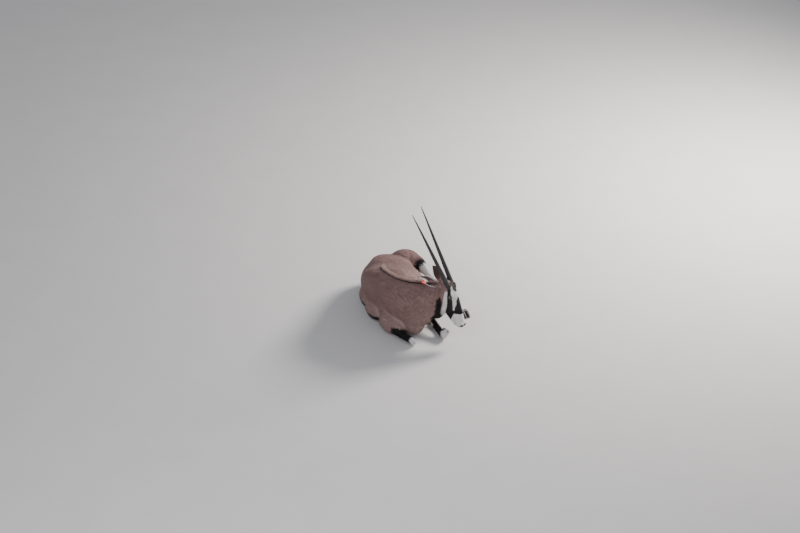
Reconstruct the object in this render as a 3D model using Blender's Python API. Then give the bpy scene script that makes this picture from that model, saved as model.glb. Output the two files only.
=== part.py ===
"""A gemsbok lying on its breast with its head raised and turned to its left, life size.

Metres, +Z up, floor at Z = 0. The trunk faces -Y, the neck and the head point along +X,
and the horns reach up and back. Every flesh part is lofted from named stations, fused
into one even skin, and then parted by thin plane cuts; legs, ears, eyes, horns, hooves,
tag and tail are bodies of their own that sit in sockets cut to fit them.
"""
import math
import random

import bmesh
import bpy
from mathutils import Matrix, Vector

GAP = 0.0003
SOCKET_GAP = 0.0004
FLOOR_PRESS = 0.0030
BODY_VOXEL = 0.0056
BODY_SMOOTHING = 46
FACE_SMOOTHING = 4
FACE_START = 0.015
FACE_BLEND = 0.070
FLESH_TRIANGLES = {
    "hindquarters": 700,
    "barrel": 400,
    "forequarters": 760,
    "neck": 380,
    "head": 1500,
}
LEG_VOXEL = 0.0060
LEG_SMOOTHING = 8
LEG_TRIANGLES = 300
DOCK_TRIANGLES = 150

UP = Vector((0.0, 0.0, 1.0))

# Trunk and neck, rump to poll: x, y, half width, top, bottom, lean of the section to the right.
TRUNK_STATIONS = [
    (0.105, 0.832, 0.055, 0.185, 0.060, 0.20),
    (0.100, 0.785, 0.125, 0.248, 0.020, 0.26),
    (0.082, 0.690, 0.178, 0.308, -0.010, 0.32),
    (0.082, 0.580, 0.206, 0.358, -0.020, 0.28),
    (0.088, 0.450, 0.242, 0.393, -0.020, 0.30),
    (0.106, 0.320, 0.272, 0.425, -0.020, 0.34),
    (0.112, 0.200, 0.276, 0.460, -0.020, 0.42),
    (0.120, 0.095, 0.242, 0.503, -0.018, 0.45),
    (0.147, 0.000, 0.192, 0.533, -0.014, 0.42),
    (0.190, -0.085, 0.165, 0.535, -0.012, 0.34),
    (0.245, -0.145, 0.142, 0.530, 0.018, 0.24),
    (0.300, -0.180, 0.118, 0.528, 0.072, 0.15),
    (0.360, -0.203, 0.100, 0.530, 0.130, 0.08),
    (0.420, -0.218, 0.085, 0.535, 0.196, 0.03),
    (0.466, -0.226, 0.068, 0.525, 0.238, 0.00),
]
TRUNK_FULLNESS = 2.25

# Muscle masses on the trunk: centre, radii, and the heading of the first radius in degrees.
MUSCLES = {
    "right_haunch": ((-0.022, 0.560, 0.130), (0.220, 0.170, 0.150), 98.0),
    "right_thigh": ((-0.090, 0.350, 0.088), (0.180, 0.108, 0.100), 106.0),
    "right_flank": ((-0.045, 0.165, 0.108), (0.190, 0.110, 0.112), 100.0),
    "croup": ((0.148, 0.645, 0.200), (0.150, 0.140, 0.122), 0.0),
    "left_haunch": ((0.182, 0.665, 0.232), (0.148, 0.130, 0.125), 0.0),
    "left_thigh": ((0.238, 0.645, 0.240), (0.118, 0.096, 0.098), -30.0),
    "right_shoulder": ((0.066, -0.045, 0.225), (0.150, 0.080, 0.205), 132.0),
    "right_upper_arm": ((0.072, -0.126, 0.098), (0.138, 0.068, 0.094), 135.0),
    "left_shoulder": ((0.255, 0.010, 0.245), (0.140, 0.088, 0.200), 128.0),
    "left_upper_arm": ((0.318, 0.010, 0.165), (0.115, 0.072, 0.092), 122.0),
    "breast": ((0.250, -0.150, 0.125), (0.105, 0.080, 0.110), 150.0),
    "throat": ((0.448, -0.222, 0.290), (0.066, 0.060, 0.092), 0.0),
}

# Cuts that part the flesh: a point of each plane and its direction towards the head.
CUTS = {
    "loin": ((0.070, 0.390, 0.000), (0.05, -1.00, 0.00)),
    "girth": ((0.110, 0.110, 0.000), (0.36, -0.93, 0.00)),
    "neck_root": ((0.300, -0.180, 0.300), (0.80, -0.30, 0.52)),
    "poll": ((0.430, -0.222, 0.450), (0.985, -0.10, 0.15)),
}

# Head: x runs from the horns to the nose, y to its left, z out of the forehead.
HEAD_ORIGIN = Vector((0.587, -0.228, 0.493))
HEAD_FORWARD = Vector((0.305, -0.280, -0.910))
HEAD_LEFT = Vector((0.450, 0.880, -0.120))
# x, top, bottom, half width
FACE_STATIONS = [
    (-0.090, -0.060, -0.140, 0.036),
    (-0.070, -0.036, -0.160, 0.054),
    (-0.045, -0.014, -0.172, 0.065),
    (-0.015, 0.000, -0.180, 0.069),
    (0.025, 0.004, -0.182, 0.067),
    (0.075, 0.005, -0.178, 0.060),
    (0.125, 0.004, -0.173, 0.050),
    (0.175, 0.002, -0.158, 0.042),
    (0.220, -0.002, -0.141, 0.038),
    (0.258, -0.006, -0.125, 0.039),
    (0.290, -0.010, -0.108, 0.041),
    (0.315, -0.016, -0.086, 0.037),
    (0.332, -0.026, -0.066, 0.026),
    (0.340, -0.036, -0.054, 0.012),
]
FACE_FULLNESS = 2.35

EYE_CENTRE = Vector((0.060, 0.0535, -0.038))
EYE_RADIUS = 0.0195
EYE_OUT = Vector((0.22, 0.95, 0.20))
LID_RADIUS = 0.0042
NOSTRIL_CENTRE = Vector((0.322, 0.023, -0.034))
MOUTH_HEIGHT = -0.068
MOUTH_CORNER = 0.232
MOUTH_RADIUS = 0.0030

HORN_ROOT = Vector((0.006, 0.035, -0.030))
HORN_BASE_RADIUS = 0.0215
HORN_TIP_RADIUS = 0.0022
# side, length, degrees outwards at the root and at the tip, degrees back at the root and at the tip
HORNS = {
    "right": (0.752, 14.0, 16.0, 0.0, -0.5),
    "left": (0.732, -1.0, -2.5, 3.5, 3.0),
}
HORN_RINGS = 17
HORN_RING_END = 0.60
HORN_RING_DEPTH = 0.0020
HORN_SIDES = 8

EAR_LENGTH = 0.205
EAR_WIDTH = 0.046
EAR_DEPTH = 0.026
EAR_THICKNESS = 0.0042
EAR_ROOT_SINK = 0.020
# side, root in the head frame, and in the world the directions it points and opens
EARS = {
    "right": (Vector((-0.062, -0.058, -0.100)), Vector((-0.90, -0.03, 0.43)), Vector((0.30, -0.38, 0.87))),
    "left": (Vector((-0.062, 0.046, -0.100)), Vector((-0.50, 0.78, 0.33)), Vector((0.78, 0.20, -0.60))),
}
TAG_SIZE = (0.035, 0.036, 0.0032)
TAG_ALONG_EAR = 0.74
TAG_ACROSS_EAR = 0.016
TAG_ABOVE_EAR = 0.0085
# Radius and the two ends below the panel
TAG_PIN = (0.0030, -0.016, 0.001)
TAG_BUTTON = (0.0100, -0.0185, -0.0155)

# Legs: rows of x, y, z, half width, half depth along each bone, joined at the joints.
LEGS = {
    "foreleg_right": [
        [(0.058, -0.132, 0.102, 0.034, 0.036), (0.104, -0.188, 0.070, 0.034, 0.037),
         (0.170, -0.254, 0.052, 0.027, 0.030), (0.225, -0.304, 0.048, 0.029, 0.031),
         (0.252, -0.330, 0.044, 0.022, 0.024)],
        [(0.254, -0.324, 0.030, 0.024, 0.026), (0.222, -0.276, 0.018, 0.019, 0.019),
         (0.150, -0.176, 0.016, 0.017, 0.018), (0.110, -0.122, 0.020, 0.023, 0.024)],
        [(0.062, -0.115, 0.060, 0.030, 0.036), (0.110, -0.170, 0.044, 0.030, 0.030),
         (0.166, -0.235, 0.036, 0.022, 0.022)],
        [(0.112, -0.126, 0.020, 0.022, 0.023), (0.080, -0.085, 0.018, 0.018, 0.019),
         (0.054, -0.050, 0.020, 0.024, 0.020)],
    ],
    "foreleg_left": [
        [(0.345, 0.050, 0.160, 0.052, 0.056), (0.388, -0.020, 0.134, 0.040, 0.044),
         (0.440, -0.110, 0.096, 0.028, 0.033), (0.488, -0.190, 0.064, 0.029, 0.033),
         (0.508, -0.224, 0.050, 0.023, 0.025)],
        [(0.506, -0.224, 0.030, 0.023, 0.025), (0.480, -0.170, 0.018, 0.019, 0.019),
         (0.440, -0.064, 0.016, 0.017, 0.018), (0.420, -0.006, 0.020, 0.023, 0.024)],
        [(0.422, -0.010, 0.020, 0.022, 0.023), (0.408, 0.034, 0.018, 0.018, 0.019),
         (0.396, 0.070, 0.020, 0.024, 0.020)],
    ],
    "hindleg_left": [
        [(0.240, 0.680, 0.255, 0.064, 0.076), (0.306, 0.602, 0.258, 0.052, 0.066),
         (0.362, 0.498, 0.246, 0.031, 0.040), (0.398, 0.420, 0.230, 0.027, 0.036),
         (0.424, 0.378, 0.216, 0.024, 0.030)],
        [(0.404, 0.398, 0.222, 0.026, 0.032), (0.450, 0.368, 0.196, 0.020, 0.025),
         (0.540, 0.318, 0.126, 0.017, 0.020), (0.612, 0.278, 0.056, 0.019, 0.022),
         (0.640, 0.256, 0.030, 0.025, 0.027)],
        [(0.634, 0.262, 0.032, 0.024, 0.026), (0.660, 0.222, 0.028, 0.020, 0.021),
         (0.676, 0.190, 0.027, 0.026, 0.021)],
    ],
    "hindleg_right": [
        [(0.100, 0.500, 0.045, 0.024, 0.034), (0.190, 0.462, 0.034, 0.019, 0.026),
         (0.280, 0.425, 0.022, 0.018, 0.021), (0.340, 0.402, 0.022, 0.025, 0.025)],
        [(0.335, 0.404, 0.023, 0.024, 0.024), (0.375, 0.392, 0.026, 0.020, 0.020),
         (0.405, 0.384, 0.030, 0.026, 0.020)],
    ],
}
# Feet: coronet centre, direction of the toes, direction out of the front of the hoof.
FEET = {
    "foreleg_right": ((0.054, -0.050, 0.018), (-0.62, 0.78, -0.20), (-0.10, -0.10, -0.98)),
    "foreleg_left": ((0.396, 0.070, 0.018), (-0.32, 0.94, -0.20), (-0.10, -0.10, -0.98)),
    "hindleg_left": ((0.676, 0.190, 0.036), (0.46, -0.88, -0.10), (-0.02, -0.10, 0.99)),
    "hindleg_right": ((0.405, 0.384, 0.032), (0.96, -0.26, -0.08), (-0.05, -0.10, 0.99)),
}
CLAW_SPACING = 0.0178
# x towards the toe, z, half width, half height
CLAW_STATIONS = [
    (-0.020, -0.006, 0.0085, 0.0095),
    (-0.008, -0.007, 0.0140, 0.0165),
    (0.012, -0.008, 0.0160, 0.0195),
    (0.034, -0.012, 0.0150, 0.0165),
    (0.056, -0.018, 0.0112, 0.0105),
    (0.074, -0.024, 0.0045, 0.0042),
]

TAIL_ROWS = [
    (0.092, 0.765, 0.190, 0.030, 0.026),
    (0.094, 0.825, 0.178, 0.024, 0.022),
    (0.094, 0.866, 0.130, 0.018, 0.018),
    (0.100, 0.890, 0.072, 0.015, 0.015),
    (0.118, 0.926, 0.034, 0.013, 0.013),
    (0.138, 0.966, 0.025, 0.011, 0.012),
    (0.156, 1.002, 0.021, 0.008, 0.009),
]
TAIL_CUT = 4
TUFT_LOCKS = 15
TUFT_LENGTH = 0.185

MANE_LOCKS = 20
MANE_LENGTH = 0.062
MANE_WIDTH = 0.0200
MANE_THICKNESS = 0.0048
CREST_HALF_WIDTH = 0.0125
CREST_HEIGHT = 0.016
CREST_SINK = 0.012
# The mane's ends, counted in stations of the trunk
CREST_POLL = 13.5
CREST_BACK = 6.33
CREST_STEPS = 6

COLOURS = {
    "coat": ((0.38, 0.29, 0.25), 0.85),
    "mane": ((0.05, 0.04, 0.04), 0.80),
    "legs": ((0.55, 0.52, 0.50), 0.85),
    "horn": ((0.045, 0.04, 0.038), 0.45),
    "hoof": ((0.05, 0.045, 0.04), 0.50),
    "eye": ((0.02, 0.012, 0.008), 0.10),
    "tag": ((0.75, 0.14, 0.05), 0.50),
}


def spline_rows(rows, steps):
    """Rows read from a smooth curve through the given rows, with steps rows for each stretch."""
    smooth = []
    last = len(rows) - 1
    for index in range(last):
        before = rows[max(index - 1, 0)]
        start = rows[index]
        end = rows[index + 1]
        after = rows[min(index + 2, last)]
        for step in range(steps):
            t = step / steps
            smooth.append(tuple(
                0.5 * (2 * b + (c - a) * t + (2 * a - 5 * b + 4 * c - d) * t * t
                       + (3 * b - a - 3 * c + d) * t ** 3)
                for a, b, c, d in zip(before, start, end, after)))
    smooth.append(tuple(rows[-1]))
    return smooth


def section(centre, forward, up, half_width, above, below, sides, fullness, lean=0.0):
    """One closed ring across a part. Lean shifts its top to the animal's right."""
    right = forward.cross(up).normalized()
    ring = []
    for k in range(sides):
        angle = 2 * math.pi * k / sides
        across, height = math.cos(angle), math.sin(angle)
        x = math.copysign(abs(across) ** (2 / fullness), across) * half_width
        z = math.copysign(abs(height) ** (2 / fullness), height) * (above if height > 0 else below)
        ring.append(centre + right * (x + lean * z) + up * z)
    return ring


def loft(rings):
    """A closed shell through rings of equal length, capped at both ends."""
    shell = bmesh.new()
    loops = []
    for ring in rings:
        verts = [shell.verts.new(point) for point in ring]
        edges = [shell.edges.new((verts[k - 1], verts[k])) for k in range(len(verts))]
        loops.append((verts, edges))
    for (_, lower), (_, upper) in zip(loops, loops[1:]):
        bmesh.ops.bridge_loops(shell, edges=lower + upper)
    shell.faces.new(loops[0][0])
    shell.faces.new(loops[-1][0])
    bmesh.ops.recalc_face_normals(shell, faces=shell.faces[:])
    return shell


def path_loft(rows, up, sides=14, steps=3, fullness=2.1):
    """A tube through rows of x, y, z, half width and half depth."""
    rows = spline_rows(rows, steps)
    points = [Vector(row[:3]) for row in rows]
    rings = []
    for index, (point, row) in enumerate(zip(points, rows)):
        ahead = points[min(index + 1, len(points) - 1)]
        behind = points[max(index - 1, 0)]
        forward = (ahead - behind).normalized()
        right = forward.cross(up).normalized()
        outward = right.cross(forward).normalized()
        rings.append(section(point, forward, outward, row[3], row[4], row[4], sides, fullness))
    return loft(rings)


def ellipsoid(centre, radii, heading=0.0, segments=20, rings=12):
    """A closed ellipsoid whose first radius points along a heading, in degrees about Z."""
    shell = bmesh.new()
    bmesh.ops.create_uvsphere(shell, u_segments=segments, v_segments=rings, radius=1.0)
    turn = Matrix.Rotation(math.radians(heading), 4, "Z")
    shape = Matrix.Translation(centre) @ turn @ Matrix.Diagonal((*radii, 1.0))
    bmesh.ops.transform(shell, matrix=shape, verts=shell.verts[:])
    return shell


def object_from(name, shells):
    """One object that holds all the shells, in triangles so that its sockets match it."""
    mesh = bpy.data.meshes.new(name)
    joined = bmesh.new()
    for shell in shells:
        piece = bpy.data.meshes.new("piece")
        shell.to_mesh(piece)
        shell.free()
        joined.from_mesh(piece)
        bpy.data.meshes.remove(piece)
    bmesh.ops.triangulate(joined, faces=joined.faces[:])
    joined.to_mesh(mesh)
    joined.free()
    obj = bpy.data.objects.new(name, mesh)
    bpy.context.scene.collection.objects.link(obj)
    return obj


def apply_modifiers(obj):
    """Makes an object's modifiers part of its mesh."""
    bpy.context.view_layer.update()
    graph = bpy.context.evaluated_depsgraph_get()
    mesh = bpy.data.meshes.new_from_object(obj.evaluated_get(graph), depsgraph=graph)
    obj.modifiers.clear()
    old = obj.data
    obj.data = mesh
    bpy.data.meshes.remove(old)


def fuse(name, shells, voxel):
    """Fuses overlapping shells into one skin of even quads."""
    obj = object_from(name, shells)
    remesh = obj.modifiers.new("fuse", "REMESH")
    remesh.mode = "VOXEL"
    remesh.voxel_size = voxel
    apply_modifiers(obj)
    return obj


def even(obj, iterations, group=""):
    """Evens a skin, only where a vertex group says so if one is named."""
    step = obj.modifiers.new("even", "SMOOTH")
    step.factor = 0.5
    step.iterations = iterations
    step.vertex_group = group
    apply_modifiers(obj)


def thin(obj, triangles):
    """Thins a skin to about a number of triangles."""
    step = obj.modifiers.new("thin", "DECIMATE")
    count = sum(len(face.vertices) - 2 for face in obj.data.polygons)
    step.ratio = min(1.0, triangles / count)
    step.use_collapse_triangulate = True
    apply_modifiers(obj)


def keep_largest(obj):
    """Keeps only the largest closed surface of an object."""
    shell = bmesh.new()
    shell.from_mesh(obj.data)
    unseen = set(shell.faces)
    islands = []
    while unseen:
        seed = unseen.pop()
        island = [seed]
        for face in island:
            for edge in face.edges:
                for other in edge.link_faces:
                    if other in unseen:
                        unseen.discard(other)
                        island.append(other)
        islands.append(island)
    islands.sort(key=lambda island: sum(face.calc_area() for face in island))
    scraps = [face for island in islands[:-1] for face in island]
    bmesh.ops.delete(shell, geom=scraps, context="FACES")
    shell.to_mesh(obj.data)
    shell.free()


def carve(obj, tools):
    """Cuts each tool from an object, and keeps the tools."""
    for tool in tools:
        step = obj.modifiers.new("carve", "BOOLEAN")
        step.operation = "DIFFERENCE"
        step.solver = "EXACT"
        step.object = tool
        apply_modifiers(obj)
    keep_largest(obj)


def unite(obj, parts, solver="EXACT"):
    """Unites an object with all the parts at once, removes them and keeps the largest surface."""
    group = bpy.data.collections.new("parts")
    for part in parts:
        group.objects.link(part)
    step = obj.modifiers.new("unite", "BOOLEAN")
    step.operation = "UNION"
    step.operand_type = "COLLECTION"
    step.collection = group
    step.solver = solver
    apply_modifiers(obj)
    bpy.data.collections.remove(group)
    discard(parts)
    keep_largest(obj)


def discard(objects):
    for obj in objects:
        bpy.data.objects.remove(obj, do_unlink=True)


def swollen(obj, by=SOCKET_GAP):
    """A copy of an object, grown by a small gap all over, to cut a socket for it."""
    mesh = obj.data.copy()
    shell = bmesh.new()
    shell.from_mesh(mesh)
    bmesh.ops.recalc_face_normals(shell, faces=shell.faces[:])
    shell.normal_update()
    moves = [vert.normal * by for vert in shell.verts]
    for vert, move in zip(shell.verts, moves):
        vert.co += move
    shell.to_mesh(mesh)
    shell.free()
    copy = bpy.data.objects.new(obj.name + "_socket", mesh)
    bpy.context.scene.collection.objects.link(copy)
    return copy


def seat(hosts, guests):
    """Cuts a socket for every guest into every host."""
    sockets = [swollen(guest) for guest in guests]
    for host in hosts:
        carve(host, sockets)
    discard(sockets)


def cut_plane(obj, point, normal, close=True):
    """Removes what lies beyond a plane, on the side of its normal, and closes the cut."""
    shell = bmesh.new()
    shell.from_mesh(obj.data)
    everything = shell.verts[:] + shell.edges[:] + shell.faces[:]
    bmesh.ops.bisect_plane(shell, geom=everything, dist=0.00002, plane_co=point,
                           plane_no=normal, clear_outer=True)
    if close:
        fill_rims(shell)
    bmesh.ops.triangulate(shell, faces=shell.faces[:])
    shell.to_mesh(obj.data)
    shell.free()


def level(obj):
    """Cuts away what lies under the floor."""
    block = bmesh.new()
    bmesh.ops.create_cube(block, size=2.0)
    bmesh.ops.translate(block, verts=block.verts[:], vec=obj.data.vertices[0].co * Vector((1, 1, 0)) - UP)
    floor = object_from("floor", [block])
    step = obj.modifiers.new("level", "BOOLEAN")
    step.operation = "DIFFERENCE"
    step.solver = "MANIFOLD"
    step.object = floor
    apply_modifiers(obj)
    discard([floor])
    keep_largest(obj)


def fill_rims(shell):
    """Closes every open rim of a shell."""
    rim = [edge for edge in shell.edges if edge.is_boundary]
    if rim:
        bmesh.ops.holes_fill(shell, edges=rim, sides=0)
    bmesh.ops.triangulate(shell, faces=shell.faces[:])
    bmesh.ops.dissolve_degenerate(shell, dist=0.00005, edges=shell.edges[:])
    bmesh.ops.recalc_face_normals(shell, faces=shell.faces[:])


def close_on_planes(obj, planes):
    """Presses each open rim flat onto its plane and closes it, and its underside onto the floor."""
    shell = bmesh.new()
    shell.from_mesh(obj.data)
    for vert in shell.verts:
        if not vert.is_boundary:
            continue
        point, normal = min(planes, key=lambda plane: abs((vert.co - plane[0]).dot(plane[1])))
        vert.co -= normal * (vert.co - point).dot(normal)
    for vert in shell.verts:
        if vert.co.z < FLOOR_PRESS:
            vert.co.z = 0.0
    fill_rims(shell)
    shell.to_mesh(obj.data)
    shell.free()


def duplicate(obj, name):
    copy = bpy.data.objects.new(name, obj.data.copy())
    bpy.context.scene.collection.objects.link(copy)
    return copy


def heading_of(rows, index):
    ahead = rows[min(index + 1, len(rows) - 1)]
    behind = rows[max(index - 1, 0)]
    return Vector((ahead[0] - behind[0], ahead[1] - behind[1], 0.0)).normalized()


def trunk_shell():
    """The trunk and neck, lofted through upright sections from the rump to the poll."""
    rows = spline_rows(TRUNK_STATIONS, 3)
    rings = []
    for index, (x, y, half_width, top, bottom, lean) in enumerate(rows):
        middle = (top + bottom) / 2
        half = (top - bottom) / 2
        rings.append(section(Vector((x, y, middle)), heading_of(rows, index), UP, half_width,
                             half, half, 28, TRUNK_FULLNESS, lean))
    return loft(rings)


def crest_point(t):
    """Crest of the neck at t, from the poll at 0 to behind the withers at 1: point and heading."""
    rows = spline_rows(TRUNK_STATIONS, CREST_STEPS)
    place = (CREST_POLL + (CREST_BACK - CREST_POLL) * t) * CREST_STEPS
    index = int(place)
    share = place - index
    low, high = rows[index], rows[min(index + 1, len(rows) - 1)]
    x, y, _, top, bottom, lean = (a + (b - a) * share for a, b in zip(low, high))
    forward = heading_of(rows, index)
    right = forward.cross(UP).normalized()
    half = (top - bottom) / 2
    return Vector((x, y, top)) + right * lean * half, forward


def crest_shell():
    """The narrow ridge that carries the mane."""
    rows = []
    for step in range(13):
        point, _ = crest_point(step / 12)
        share = math.sin(math.pi * (step + 0.6) / 13.2) ** 0.5
        rows.append((*(point - UP * CREST_SINK), CREST_HALF_WIDTH * share,
                     (CREST_HEIGHT + CREST_SINK) * share))
    return path_loft(rows, UP, sides=8, steps=1)


def lock(root, along, bow, width, thickness, length, rows=4):
    """One flat tapered lock that leaves its root along a direction and bends towards the bow."""
    rings = []
    for row in range(rows):
        t = row / (rows - 1)
        centre = root + along * (length * t) + bow * (length * t * t)
        tangent = (along + bow * (2 * t)).normalized()
        side = tangent.cross(bow).normalized()
        face = side.cross(tangent).normalized()
        wide = width * (1.0 - 0.88 * t ** 1.5) * (0.75 + 0.9 * t * (1 - t))
        thick = thickness * (1.0 - 0.80 * t)
        rings.append([centre + side * wide, centre + face * thick,
                      centre - side * wide, centre - face * thick])
    return loft(rings)


def mane_shells():
    """Short locks along both sides of the crest, lying back and overlapping like tiles."""
    draw = random.Random(7)
    shells = []
    for index in range(MANE_LOCKS):
        for side in (-1, 1):
            t = min(1.0, max(0.0, (index + 0.5 + 0.25 * side) / MANE_LOCKS))
            point, forward = crest_point(t)
            right = forward.cross(UP).normalized()
            grown = 0.62 + 0.45 * math.sin(math.pi * min(1.0, t * 1.2 + 0.1))
            size = MANE_LENGTH * grown * draw.uniform(0.86, 1.12)
            tilt = side * draw.uniform(0.26, 0.42)
            along = (UP * 0.62 - forward * 0.78 + right * tilt).normalized()
            bow = UP * -0.24 - forward * 0.12 + right * tilt * 0.35
            root = point - UP * 0.010 + right * side * CREST_HALF_WIDTH * 0.35
            shells.append(lock(root, along, bow, MANE_WIDTH, MANE_THICKNESS, size))
    return shells


def head_matrix():
    forward = HEAD_FORWARD.normalized()
    left = (HEAD_LEFT - forward * HEAD_LEFT.dot(forward)).normalized()
    out = forward.cross(left)
    turn = Matrix((forward, left, out)).transposed().to_4x4()
    return Matrix.Translation(HEAD_ORIGIN) @ turn


def mirrored(vector, side):
    return Vector((vector[0], vector[1] * side, vector[2]))


def face_shells():
    """The head in its own frame: face, brows, cheeks, horn bosses, nose, lips and chin."""
    rows = spline_rows(FACE_STATIONS, 3)
    rings = []
    for x, top, bottom, half_width in rows:
        middle = top * 0.52 + bottom * 0.48
        rings.append(section(Vector((x, 0.0, middle)), Vector((1.0, 0.0, 0.0)), UP, half_width,
                             top - middle, middle - bottom, 24, FACE_FULLNESS))
    shells = [loft(rings)]
    for side in (-1, 1):
        shells.append(ellipsoid(mirrored((0.056, 0.045, -0.036), side), (0.042, 0.023, 0.032)))
        shells.append(ellipsoid(mirrored((0.046, 0.047, -0.017), side), (0.036, 0.018, 0.013)))
        shells.append(ellipsoid(mirrored((0.022, 0.044, -0.122), side), (0.072, 0.026, 0.052)))
        shells.append(ellipsoid(mirrored((-0.012, 0.031, -0.018), side), (0.032, 0.027, 0.021)))
        shells.append(ellipsoid(mirrored((0.314, 0.023, -0.034), side), (0.026, 0.017, 0.020)))
        shells.append(ellipsoid(mirrored((0.292, 0.025, -0.062), side), (0.040, 0.018, 0.016)))
        shells.append(ellipsoid(mirrored((-0.058, 0.046, -0.078), side), (0.030, 0.024, 0.030)))
    shells.append(ellipsoid(Vector((0.276, 0.0, -0.094)), (0.042, 0.030, 0.020)))
    return shells


def lid(side, upper):
    """One eyelid: a tapered fold that follows the eyeball from corner to corner."""
    out = mirrored(EYE_OUT, side).normalized()
    along = Vector((1.0, 0.0, -0.12))
    along = (along - out * along.dot(out)).normalized()
    over = out.cross(along) * (1 if out.cross(along).z > 0 else -1)
    centre = mirrored(EYE_CENTRE, side)
    direction = 1.0 if upper else -1.0
    opening = 0.46 if upper else 0.40
    rows = []
    for step in range(7):
        sweep = math.radians(-82 + 164 * step / 6)
        across = math.sin(sweep) * 0.90
        rise = math.cos(sweep) * opening * direction
        depth = math.sqrt(max(0.0, 1.0 - across * across - rise * rise))
        spot = centre + (along * across + over * rise + out * depth) * (EYE_RADIUS + 0.0006)
        thick = LID_RADIUS * (0.45 + 0.55 * math.cos(sweep))
        rows.append((*spot, thick, thick))
    return path_loft(rows, out, sides=6, steps=1, fullness=2.0)


def mouth_groove():
    """The line of the mouth, a thin tube along the edge of the lips from corner to corner."""
    rows = []
    spots = [(MOUTH_CORNER, 0.0405), (0.262, 0.0420), (0.292, 0.0430), (0.316, 0.0365), (0.331, 0.0200)]
    for x, half in spots:
        rows.append((x, half, MOUTH_HEIGHT - 0.10 * (0.335 - x), MOUTH_RADIUS, MOUTH_RADIUS))
    front = (0.336, 0.0, MOUTH_HEIGHT + 0.002, MOUTH_RADIUS, MOUTH_RADIUS)
    far = [(x, -y, z, a, b) for x, y, z, a, b in reversed(rows)]
    return path_loft(rows + [front] + far, UP, sides=6, steps=2, fullness=2.0)


def nostril(side):
    """A comma-shaped hollow in the side of the nose."""
    shell = ellipsoid(Vector((0.0, 0.0, 0.0)), (0.0115, 0.0052, 0.0075), segments=12, rings=8)
    turn = Matrix.Rotation(side * math.radians(-38), 4, "Z") @ Matrix.Rotation(math.radians(28), 4, "Y")
    place = Matrix.Translation(mirrored(NOSTRIL_CENTRE + Vector((0.004, 0.010, 0.0)), side))
    bmesh.ops.transform(shell, matrix=place @ turn, verts=shell.verts[:])
    return shell


def horn_shell(word, side):
    """A long slender horn, ringed over its lower part."""
    length, *angles = HORNS[word]
    out_root, out_tip, back_root, back_tip = (math.radians(angle) for angle in angles)
    stops = []
    for ring in range(HORN_RINGS):
        t = 0.055 + (HORN_RING_END - 0.055) * ring / HORN_RINGS
        pitch = (HORN_RING_END - 0.055) / HORN_RINGS
        stops.append((t, -HORN_RING_DEPTH * 0.4))
        stops.append((t + pitch * 0.55, HORN_RING_DEPTH * (1 - ring / HORN_RINGS * 0.6)))
    stops = [(0.0, 0.0), (0.035, 0.0)] + stops
    stops += [(HORN_RING_END + (1 - HORN_RING_END) * share, 0.0)
              for share in (0.05, 0.2, 0.4, 0.6, 0.8, 0.92, 1.0)]
    rings = []
    for t, swell in stops:
        spread = out_root + (out_tip - out_root) * t
        back = back_root + (back_tip - back_root) * t
        direction = Vector((-math.cos(back) * math.cos(spread), side * math.sin(spread),
                            -math.sin(back) * math.cos(spread)))
        centre = mirrored(HORN_ROOT, side) + direction * length * t
        radius = HORN_TIP_RADIUS + (HORN_BASE_RADIUS - HORN_TIP_RADIUS) * (1 - t) ** 0.8 + swell
        rings.append(section(centre, direction, Vector((0, 1, 0)), radius, radius * 0.94,
                             radius * 0.94, HORN_SIDES, 2.0))
    return loft(rings)


def ear_shell(side):
    """A leaf-shaped ear with a deep cup, thin rims and a solid root."""
    root, pointing, opening = EARS[side]
    across_points = 7
    rings = []
    stops = (0.0, 0.07, 0.15, 0.26, 0.40, 0.55, 0.70, 0.84, 0.94, 1.0)
    for t in stops:
        width = EAR_WIDTH * (0.36 + 1.02 * math.sin(math.pi * min(1.0, t * 0.86 + 0.06)) ** 1.1) * 0.78
        width *= math.sqrt(max(0.03, 1.0 - max(0.0, (t - 0.62) / 0.38) ** 2.2))
        depth = EAR_DEPTH * (1.0 - 0.62 * t) * (0.75 + 0.5 * math.sin(math.pi * min(1.0, t * 1.3)))
        depth = min(depth, width * 0.95)
        solid = max(0.0, 1.0 - t / 0.20)
        outer = []
        inner = []
        for k in range(across_points):
            s = -1.0 + 2.0 * k / (across_points - 1)
            y = width * math.sin(s * 1.25) / math.sin(1.25)
            back = -depth * (1.0 - s * s) - 0.0009
            wall = EAR_THICKNESS * (0.50 + 0.50 * (1 - s * s)) * (1.0 - 0.35 * t)
            front = back + wall + (depth + 0.006 - wall) * solid * (1 - 0.5 * s * s)
            length = EAR_LENGTH * t - 0.012 * s * s * t
            outer.append((length, y, back))
            inner.append((length, y * 0.97, front))
        rings.append(outer + inner[::-1])
    forward = pointing.normalized()
    face = (opening - forward * opening.dot(forward)).normalized()
    across = face.cross(forward)
    turn = Matrix((forward, across, face)).transposed().to_4x4()
    base = head_matrix() @ root - forward * EAR_ROOT_SINK
    place = Matrix.Translation(base) @ turn
    return loft([[place @ Vector(point) for point in ring] for ring in rings]), place


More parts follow.
